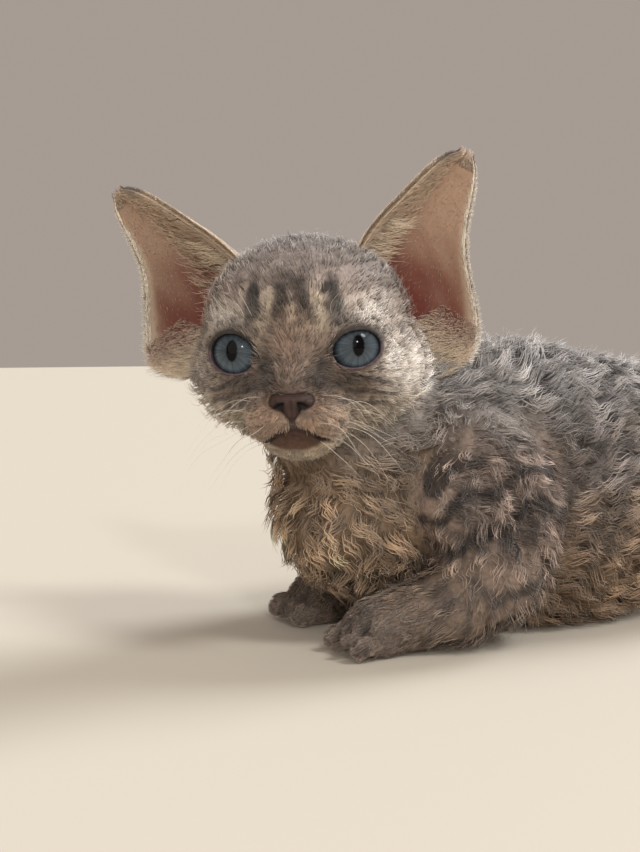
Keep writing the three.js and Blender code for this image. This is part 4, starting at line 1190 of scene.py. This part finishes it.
def strand_tints(kind, root, path, weight, bands, clumps, stray):
    """Darker at the root as painted shade, the coat's own colour in the middle, paler and cooler at the tip
    as painted light; painted highlights on wave crests and on the tips over the back and crown, and painted
    shade in the folds between parts.
    """
    knots = KINDS[kind][1]
    t = knots[None, :, None]
    places = (root[:, None] * 0.25 + path * 0.75).reshape(-1, 3)
    along = coat_colour(places, np.repeat(weight, len(knots), axis=0)).reshape(path.shape)
    tone = RNG.normal(1, CLUMP_TONES[kind], clumps.max() + 1)[clumps] * RNG.normal(1, 0.07, len(root))
    # Strands in the folds where body parts meet are painted darker, as painted shade.
    tone = np.clip(tone * np.where(stray, 1.12, 1), 0.5, 1.4) * (1 - 0.5 * crease_at(root))
    # Painted shade towards the root and painted light towards the tip.
    shade = np.interp(knots, *PAINTED_STRAND_SHADE_AND_LIGHT)
    # Painted light on the crests of the waves and painted shade in the troughs.
    wave_painted_light = 1 + PAINTED_WAVE_LIGHT[kind] * bands
    tint = along * (tone[:, None] * shade[None] * wave_painted_light)[:, :, None]
    grey = tint.mean(axis=2, keepdims=True)
    tint = tint + (grey - tint) * 0.12 * (t**2)
    # Tips over the back and on the crown are painted towards silver, as a painted rim highlight.
    bright = np.clip(coat_colour(root, weight).mean(axis=1) / 0.25, 0.2, 1)
    crown = 0.22 * weight[:, -1] * step(to_head(root)[:, 2], 12, 22)
    painted_tip_highlight = (0.5 * step(root[:, 2], 40, 58) * (1 - weight[:, -1]) + crown) * bright
    tint = tint + (SILVER * 1.35 - tint) * painted_tip_highlight[:, None, None] * t**2
    return np.clip(tint, LEAST_TINT, MOST_TINT)


def coat_labels(root, w):
    """The name of the piece that each strand belongs to."""
    label = np.array(REGIONS)[w.argmax(axis=1)].astype(object)
    trunk, high, left = label == "torso", root[:, 2] > 50, root[:, 1] < 0
    label[trunk & high] = "back"
    label[trunk & ~high & left] = "flank_left"
    label[trunk & ~high & ~left] = "flank_right"
    label[trunk & (root[:, 0] < -30)] = "breast"
    return label


def grow_coat():
    w = region_weights(skin_points)
    density = traits_at(skin_points, w)[:, 4] * (1 - 0.8 * toe_gaps(skin_points))
    density[bare_skin(skin_points, w)] = 0
    roots = sample_skin(skin_points, skin_faces, density)
    w = region_weights(roots)
    traits = traits_at(roots, w)
    classes = np.digitize(traits[:, 0], KIND_LENGTHS)
    for kind, (word, knots, taper, _, most) in enumerate(KINDS):
        chosen = np.flatnonzero(classes == kind)
        if len(chosen) > most:
            chosen = np.sort(RNG.choice(chosen, most, replace=False))
        root, tr, weight = roots[chosen], traits[chosen], w[chosen]
        path, off, bands, clumps, stray = strand_paths(kind, root, tr)
        tint = strand_tints(kind, root, path, weight, bands, clumps, stray)
        patch, label = unwrap(root, weight), coat_labels(root, weight)
        triangles = 2 * 3 * (len(knots) - 2) + 4
        for name in sorted(set(label)):
            here = np.flatnonzero(label == name)
            here = here[np.argsort(root[here, 0], kind="stable")]
            parts = int(math.ceil(len(here) * triangles / MOST_TRIANGLES))
            for i, some in enumerate(np.array_split(here, parts)):
                suffix = "" if parts == 1 else f"_{i + 1}"
                width = tr[some, 5] * RNG.uniform(0.8, 1.2, len(some)) * np.where(stray[some], 0.65, 1)
                rows = path[some], off[some], width, taper, tint[some], patch[some]
                COAT.append(coat_piece(f"coat_{name}_{word}{suffix}", *rows))


# The skin is painted darker than the coat over it, as painted shade in the gaps between the strands.
SKIN_PAINTED_SHADE = 0.66
COAT = []
grow_coat()
skin_w = region_weights(skin_points)
skin_tint = coat_colour(skin_points, skin_w) * SKIN_PAINTED_SHADE
# On the face, where the coat is short, the skin gets less of this painted shade.
face = skin_w[:, -1] * step(to_head(skin_points)[:, 0], 4, 14)
skin_tint = skin_tint * (1 + 0.35 * face)[:, None]
skin_tint = lid_colours(to_head(skin_points), skin_tint)
set_tint(skin_piece, skin_tint)

# Coat of the ears, and whiskers

EAR_HAIRS = {
    "back": 1900, "panel": 2500, "inner": 800, "outer": 750,
    "tip": 200, "tuft": 230, "pocket": 2300, "cup": 700,
}
WHISKER_RINGS = 12


def ear_strands(side, name, share, across, inner, length, loft, flow, width, tint, kind):
    """Strands on an ear's shell. flow is how far they run towards the tip and towards the outer edge."""
    _, knots, taper, _, _ = KINDS[kind]
    n = len(share)
    axis, _, _ = ear_axes(side)
    e = 0.01

    def at(s, a):
        inside = np.clip(s, 0, 1)
        on_shell = ear_point(side, inside, a, ear_inward(s, a, inner))
        return on_shell + np.outer((s - inside) * EAR_LENGTH, axis)

    def off(s, a):
        s = np.clip(s, 0.02, 0.98)
        away = unit(np.cross(at(s, a + e) - at(s, a - e), at(s + e, a) - at(s - e, a)))
        return away * (side if inner else -side)

    length = length * RNG.uniform(0.7, 1.2, n)
    bend = RNG.normal(0, 0.14, n)
    along, out = flow[0] + RNG.normal(0, 0.18, n), flow[1] + RNG.normal(0, 0.18, n)
    half = np.interp(share, EAR_PROFILE[:, 0], EAR_PROFILE[:, 1]) + 2
    path, normals = [], []
    for t in knots:
        s = share + along * length * t / EAR_LENGTH
        a = across + (out + bend * t) * length * t / (half * 1.3)
        normal = off(s, a)
        lift = loft * np.interp(t, *LIFT)
        path.append(from_head(at(s, a) + normal * (lift * RNG.uniform(0.9, 1.1, n))[:, None]))
        normals.append(normal @ HEAD_TURN.T)
    path, normals = np.stack(path, axis=1), np.stack(normals, axis=1)
    # Painted shade towards the root and painted light towards the tip.
    shade = np.interp(knots, [0, 0.4, 1], [0.7, 1.0, 1.18])
    tone = RNG.normal(1, 0.08, n)
    colours = np.clip(tint[:, None, :] * (tone[:, None] * shade[None])[:, :, None], 0.004, 0.95)
    column = 0.51 if side > 0 else 0.76
    row = 0.86 + 0.13 * np.clip(share, 0, 1)
    patch = np.stack([column + 0.11 * inner + 0.05 * (across + 1), row], axis=1)
    widths = np.full(n, width) * RNG.uniform(0.8, 1.2, n)
    COAT.append(coat_piece(name, path, normals, widths, taper, colours, patch, "ear"))


def ear_coat(side, word):
    uniform = RNG.uniform

    def grow(name, s, a, inner, length, loft, flow, width, tint, kind):
        ear_strands(side, f"coat_ear_{name}_{word}", s, a, inner, length, loft, flow, width, tint, kind)

    n = EAR_HAIRS["back"]
    s, a = uniform(-0.02, 0.96, n), uniform(-1, 1, n)
    tint = mix(np.tile(TAUPE, (n, 1)), SILVER, 0.35 * step(0.5 - s, 0, 0.4))
    tint = mix(tint, DARK * 1.6, 0.75 * step(s, 0.8, 0.95))
    tint = mix(tint, vec(0.62, 0.50, 0.39), 0.9 * step(np.abs(a), 0.6, 0.85) * step(0.93 - s, 0, 0.08))
    grow("back", s, a, 0, 3.0 - 1.4 * step(s, 0.6, 0.95), 0.7, (1, 0.05), 0.2, tint, 1)
    # The furred strip inside the inner edge.
    n = EAR_HAIRS["panel"]
    s = -0.03 + 1.02 * uniform(0, 1, n) ** 1.15
    a = -1 + uniform(0, 1, n) ** 1.3 * (0.95 - 0.25 * side) * (1.15 - 0.4 * s)
    tint = mix(np.tile(vec(0.58, 0.42, 0.30), (n, 1)), CREAM * 0.9, 0.5 * uniform(0, 1, n))
    tint = mix(tint, TAUPE, 0.5 * step(-a, 0.75, 1.0) * uniform(0, 1, n))
    tint = mix(tint, DARK * 1.8, 0.45 * step(s, 0.82, 0.95) * step(-a, 0.6, 1.0))
    grow("panel", s, a, 1, 4.6 - 2.9 * step(s, 0.3, 0.95), 1.1, (0.75, 0.35), 0.15, tint, 1)
    # Down along the rim, on both of its faces.
    for sign, edge in ((-1, "inner"), (1, "outer")):
        for inner, name in ((0, "rim"), (1, "edge")):
            n = EAR_HAIRS[edge]
            s, a = uniform(0, 0.97, n), sign * uniform(0.94, 1.0, n)
            other = vec(0.90, 0.85, 0.79) if sign > 0 else TAN * 1.3
            tint = mix(np.tile(CREAM * 1.05, (n, 1)), other, 0.75 * uniform(0, 1, n))
            tint = mix(tint, DARK * 2, 0.8 * step(s, 0.86, 0.96) * (sign < 0))
            length = 2.2 - 0.1 * sign + 0.4 * inner + 1.3 * step(0.32 - s, 0, 0.2)
            length = length * (1 - 0.45 * step(s, 0.8, 0.97))
            flow = (0.85, 0.05 * sign) if inner else (0.55, 0.75 * sign)
            grow(f"{name}_{edge}", s, a, inner, length, 0.45 - 0.15 * sign, flow, 0.12, tint, 0)
            n = EAR_HAIRS["tip"]
            s, a = uniform(0.93, 1.0, n), sign * uniform(0, 1, n)
            tint = mix(np.tile(DARK * 2.4, (n, 1)), vec(0.5, 0.38, 0.29), 0.85 * inner + uniform(0, 0.3, n))
            grow(f"tip_{name}_{edge}", s, a, inner, 1.5, 0.3, (0.9, 0.3 * sign), 0.12, tint, 0)
    # Long fine hairs that cross the opening from the inner edge.
    n = EAR_HAIRS["tuft"]
    s, a = uniform(0.0, 0.5, n), uniform(-0.95, -0.55, n)
    grow("tuft", s, a, 1, 9.0, 2.6, (0.55, 0.85), 0.11, np.tile(CREAM, (n, 1)), 3)
    # Soft fur on the pocket at the foot of the outer edge, thinning out upwards.
    n = EAR_HAIRS["pocket"]
    s = -0.03 + 0.34 * uniform(0, 1, n) ** 1.4
    a = 1 - (0.85 - 1.2 * np.clip(s, 0, 0.4)) * uniform(0, 1, n) ** 1.5
    tint = mix(np.tile(CREAM * 0.95, (n, 1)), vec(0.58, 0.42, 0.33), step(s, 0.03, 0.3))
    grow("pocket", s, a, 1, 4.2 - 3.0 * step(s, 0.05, 0.3), 1.2, (0.4, 0.6), 0.14, tint, 1)
    n = EAR_HAIRS["cup"]
    s, a = uniform(0.1, 0.9, n), uniform(-0.4, 0.9, n)
    tint = np.tile(vec(0.66, 0.48, 0.37), (n, 1))
    # Hairs in the cup are painted darker near its foot, as painted shade.
    grow("cup", s, a, 1, 1.2, 0.22, (0.9, 0.2), 0.08, tint * (0.55 + 0.5 * step(s, 0.1, 0.5))[:, None], 0)


for side, word in ((1, "left"), (-1, "right")):
    ear_coat(side, word)


def whiskers():
    """Long curved whiskers from the pads of the muzzle, and a few fine hairs over the eyes."""
    starts, aims, lengths, falls = [], [], [], []
    for side in (1, -1):
        for (row, k), pore in zip(WHISKER_ROWS, WHISKER_PORES):
            starts.append(on_side(side, pore))
            aims.append((0.55 - 0.12 * k, side * 0.9, 0.10 - 0.22 * row))
            lengths.append(RNG.uniform(10, 19))
            falls.append(RNG.uniform(0.25, 0.75))
        for k in range(4):
            starts.append((20, side * (9 + 2.2 * k), 8.5 + 0.5 * k))
            aims.append((0.45, side * (0.25 + 0.15 * k), 0.9))
            lengths.append(RNG.uniform(8, 13))
            falls.append(RNG.uniform(-0.1, 0.2))
    start, aim = np.array(starts, float), unit(np.array(aims) + RNG.normal(0, 0.07, (len(aims), 3)))
    for _ in range(4):
        start -= slope(head_form, start) * (head_form(start) + 0.6)[:, None]
    knots = np.linspace(0, 1, WHISKER_RINGS)[None, :, None]
    length, fall = np.array(lengths)[:, None, None], np.array(falls)[:, None, None]
    swing = unit(np.cross(aim, RNG.normal(size=aim.shape)))[:, None]
    path = start[:, None] + aim[:, None] * length * (knots - 0.12 * knots**2)
    path = path + vec(-0.25, 0, -1) * fall * length * knots**2
    waves = RNG.uniform(0.6, 1.1, (len(start), 1, 1))
    path = path + swing * length * 0.06 * np.sin(knots * 2 * np.pi * waves)
    path = from_head(path.reshape(-1, 3)).reshape(path.shape)
    low = path[:, :, 2] < 0.5
    path[low, 2] = 0.5
    along = unit(path[:, 1:] - path[:, :-1])
    along = np.concatenate([along, along[:, -1:]], axis=1)
    normals = unit(np.cross(along, vec(0.3, 0.2, 1.0)))
    taper = np.interp(np.linspace(0, 1, WHISKER_RINGS), [0, 0.4, 1], [1.0, 0.8, 0.0])
    colours = np.tile(vec(0.80, 0.74, 0.66), (len(start), WHISKER_RINGS, 1))
    patch = np.tile([0.7, 0.2], (len(start), 1)) + RNG.uniform(0, 0.02, (len(start), 2))
    widths = RNG.uniform(0.07, 0.12, len(start))
    COAT.append(coat_piece("whiskers", path, normals, widths, taper, colours, patch, "face"))


whiskers()

# Materials

SUBSURFACE_RADIUS, SUBSURFACE_SCALE = (1.0, 0.35, 0.2), 0.001
BUMP_DISTANCE, SHEEN_ROUGHNESS = 0.0004, 0.4


def tinted_material(name, roughness, noise, contrast, bump=0.0, sheen=0.0, subsurface=0.0, specular=0.5):
    """A finish that takes its colour from the Tint of the mesh, broken up by noise, with bump."""
    material = bpy.data.materials.new(name)
    material.use_nodes = True
    tree = material.node_tree
    shader = tree.nodes["Principled BSDF"]
    new = tree.nodes.new
    tint = new("ShaderNodeAttribute")
    tint.attribute_name = "Tint"
    coordinates = new("ShaderNodeTexCoord")
    grain = new("ShaderNodeTexNoise")
    grain.inputs["Scale"].default_value = noise
    grain.inputs["Detail"].default_value = 4
    tree.links.new(coordinates.outputs["Object"], grain.inputs["Vector"])
    ramp = new("ShaderNodeMapRange")
    ramp.inputs["From Min"].default_value, ramp.inputs["From Max"].default_value = 0.3, 0.7
    ramp.inputs["To Min"].default_value, ramp.inputs["To Max"].default_value = 1 - contrast, 1 + contrast
    tree.links.new(grain.outputs["Fac"], ramp.inputs["Value"])
    scale = new("ShaderNodeVectorMath")
    scale.operation = "SCALE"
    tree.links.new(tint.outputs["Color"], scale.inputs[0])
    tree.links.new(ramp.outputs["Result"], scale.inputs["Scale"])
    tree.links.new(scale.outputs["Vector"], shader.inputs["Base Color"])
    shader.inputs["Roughness"].default_value = roughness
    shader.inputs["Specular IOR Level"].default_value = specular
    shader.inputs["Sheen Weight"].default_value = sheen
    shader.inputs["Sheen Roughness"].default_value = SHEEN_ROUGHNESS
    if subsurface:
        shader.inputs["Subsurface Weight"].default_value = subsurface
        shader.inputs["Subsurface Radius"].default_value = SUBSURFACE_RADIUS
        shader.inputs["Subsurface Scale"].default_value = SUBSURFACE_SCALE
    if bump:
        relief = new("ShaderNodeBump")
        relief.inputs["Strength"].default_value = bump
        relief.inputs["Distance"].default_value = BUMP_DISTANCE
        tree.links.new(grain.outputs["Fac"], relief.inputs["Height"])
        tree.links.new(relief.outputs["Normal"], shader.inputs["Normal"])
    return material


fur_finish = tinted_material("fur", 0.7, 260, 0.10, specular=0.2, sheen=0.3)
skin_finish = tinted_material("skin", 0.75, 900, 0.25, bump=0.35, specular=0.3)
eye_finish = tinted_material("eye", 0.035, 900, 0.10, specular=0.13)
nose_finish = tinted_material("nose", 0.55, 1500, 0.14, bump=0.5, specular=0.3)
ear_finish = tinted_material("ear", 0.65, 700, 0.06, bump=0.3, subsurface=0.15, specular=0.25)
for piece in COAT:
    piece.data.materials.append(fur_finish)
skin_piece.data.materials.append(skin_finish)
for piece in EYE_PIECES:
    piece.data.materials.append(eye_finish)

NOSE_TINT, NOSTRIL_PAINTED_SHADE = vec(0.048, 0.025, 0.021), vec(0.008, 0.005, 0.005)
nose_tint = np.tile(NOSE_TINT, (len(nose_points), 1)) * (1 + 0.15 * wander(nose_points, 3, 8))[:, None]
# The nostril hollows are painted near black, as painted shade.
for side in (1, -1):
    hole = np.linalg.norm((nose_points - (NOSE + vec(1.6, side * 2.6, -0.9))) / vec(3, 1.5, 1.5), axis=1)
    nose_tint = mix(nose_tint, NOSTRIL_PAINTED_SHADE, 1 - step(hole, 0.7, 1.15))
set_tint(nose_piece, nose_tint)
nose_piece.data.materials.append(nose_finish)

INSIDE_PAINTED_SHADE, INSIDE_PINK = vec(0.150, 0.036, 0.025), vec(0.40, 0.268, 0.192)
for side, (piece, points, faces, share, across, inner) in EAR_DATA.items():
    n = wander(points, 7, 31)
    # Deep in the ear's hollow, near its foot, the inside is painted dark, as painted shade.
    cup = mix(np.tile(INSIDE_PAINTED_SHADE, (len(points), 1)), INSIDE_PINK, step(share + 0.06 * n, 0.22, 0.74))
    cup = mix(cup, INSIDE_PINK * 1.1, 0.6 * step(np.abs(across), 0.7, 0.98) * step(share, 0.1, 0.4))
    # The left ear's inside is painted lighter and the right ear's darker, as painted light and shade.
    cup = cup * (1 + 0.1 * side)
    back = mix(np.tile(TAUPE, (len(points), 1)), SILVER, 0.3 + 0.2 * n)
    back = mix(back, DARK * 1.4, 0.7 * step(share, 0.78, 0.96))
    cup = mix(cup, vec(0.50, 0.37, 0.29), 0.75 * step(across, 0.35, 0.8) * step(0.34 - share, 0, 0.2))
    tint = mix(back, cup, inner.astype(float))
    tint = mix(tint, CREAM * 0.75, 0.85 * step(np.abs(across), 0.8, 0.95) * step(0.95 - share, 0, 0.1))
    tint = mix(tint, DARK * 1.8, (0.85 - 0.5 * inner) * step(share, 0.97, 1.0))
    set_tint(piece, tint)
    piece.data.materials.append(ear_finish)


# Stage, light and camera


def plain_material(name, colour, roughness):
    material = bpy.data.materials.new(name)
    material.use_nodes = True
    shader = material.node_tree.nodes["Principled BSDF"]
    shader.inputs["Base Color"].default_value = (*colour, 1)
    shader.inputs["Roughness"].default_value = roughness
    return material


FLOOR_HALF = 3.0
floor_mesh = bpy.data.meshes.new("floor")
corners = [(a * FLOOR_HALF, b * FLOOR_HALF, 0) for a, b in ((-1, -1), (1, -1), (1, 1), (-1, 1))]
floor_mesh.from_pydata(corners, [], [(0, 1, 2, 3)])
floor = bpy.data.objects.new("floor", floor_mesh)
bpy.context.scene.collection.objects.link(floor)
floor_mesh.materials.append(plain_material("floor", (0.55, 0.505, 0.43), 0.75))
floor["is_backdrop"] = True


def sun(name, towards, strength, angle, colour):
    light = bpy.data.lights.new(name, "SUN")
    light.energy, light.angle, light.color = strength, math.radians(angle), colour
    lamp = bpy.data.objects.new(name, light)
    bpy.context.scene.collection.objects.link(lamp)
    lamp.rotation_euler = Vector(towards).to_track_quat("Z", "Y").to_euler()


sun("key", (0.25, -0.52, 0.72), 1.5, 16, (1, 0.975, 0.94))
sun("rim", (0.93, 0.06, 0.50), 3.8, 26, (0.97, 0.985, 1))
sun("fill", (-0.75, -0.60, 0.40), 0.75, 60, (1, 0.92, 0.83))
sun("catch", (-0.25, -0.83, 0.46), 0.7, 6, (1, 1, 1))

world = bpy.data.worlds.new("studio")
world.use_nodes = True
world.node_tree.nodes["Background"].inputs["Color"].default_value = (0.76, 0.66, 0.585, 1)
world.node_tree.nodes["Background"].inputs["Strength"].default_value = 0.5
bpy.context.scene.world = world

camera = bpy.data.objects.new("camera", bpy.data.cameras.new("camera"))
bpy.context.scene.collection.objects.link(camera)
camera.data.sensor_width = 36
camera.data.lens = 53.96
camera.data.sensor_fit = "AUTO"
camera.data.clip_start, camera.data.clip_end = 0.01, 20
camera.location = Vector((CAMERA + SHIFT) * MM)
pitch, side_turn = math.radians(3.9), math.radians(28)
ahead = vec(math.sin(side_turn) * math.cos(pitch), math.cos(side_turn) * math.cos(pitch), -math.sin(pitch))
camera.rotation_euler = Vector(ahead).to_track_quat("-Z", "Y").to_euler()
bpy.context.scene.camera = camera
bpy.context.scene.view_settings.view_transform = "Standard"

size = [[list(map(float, corner)) for corner in box] for box in (cad_box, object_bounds())]
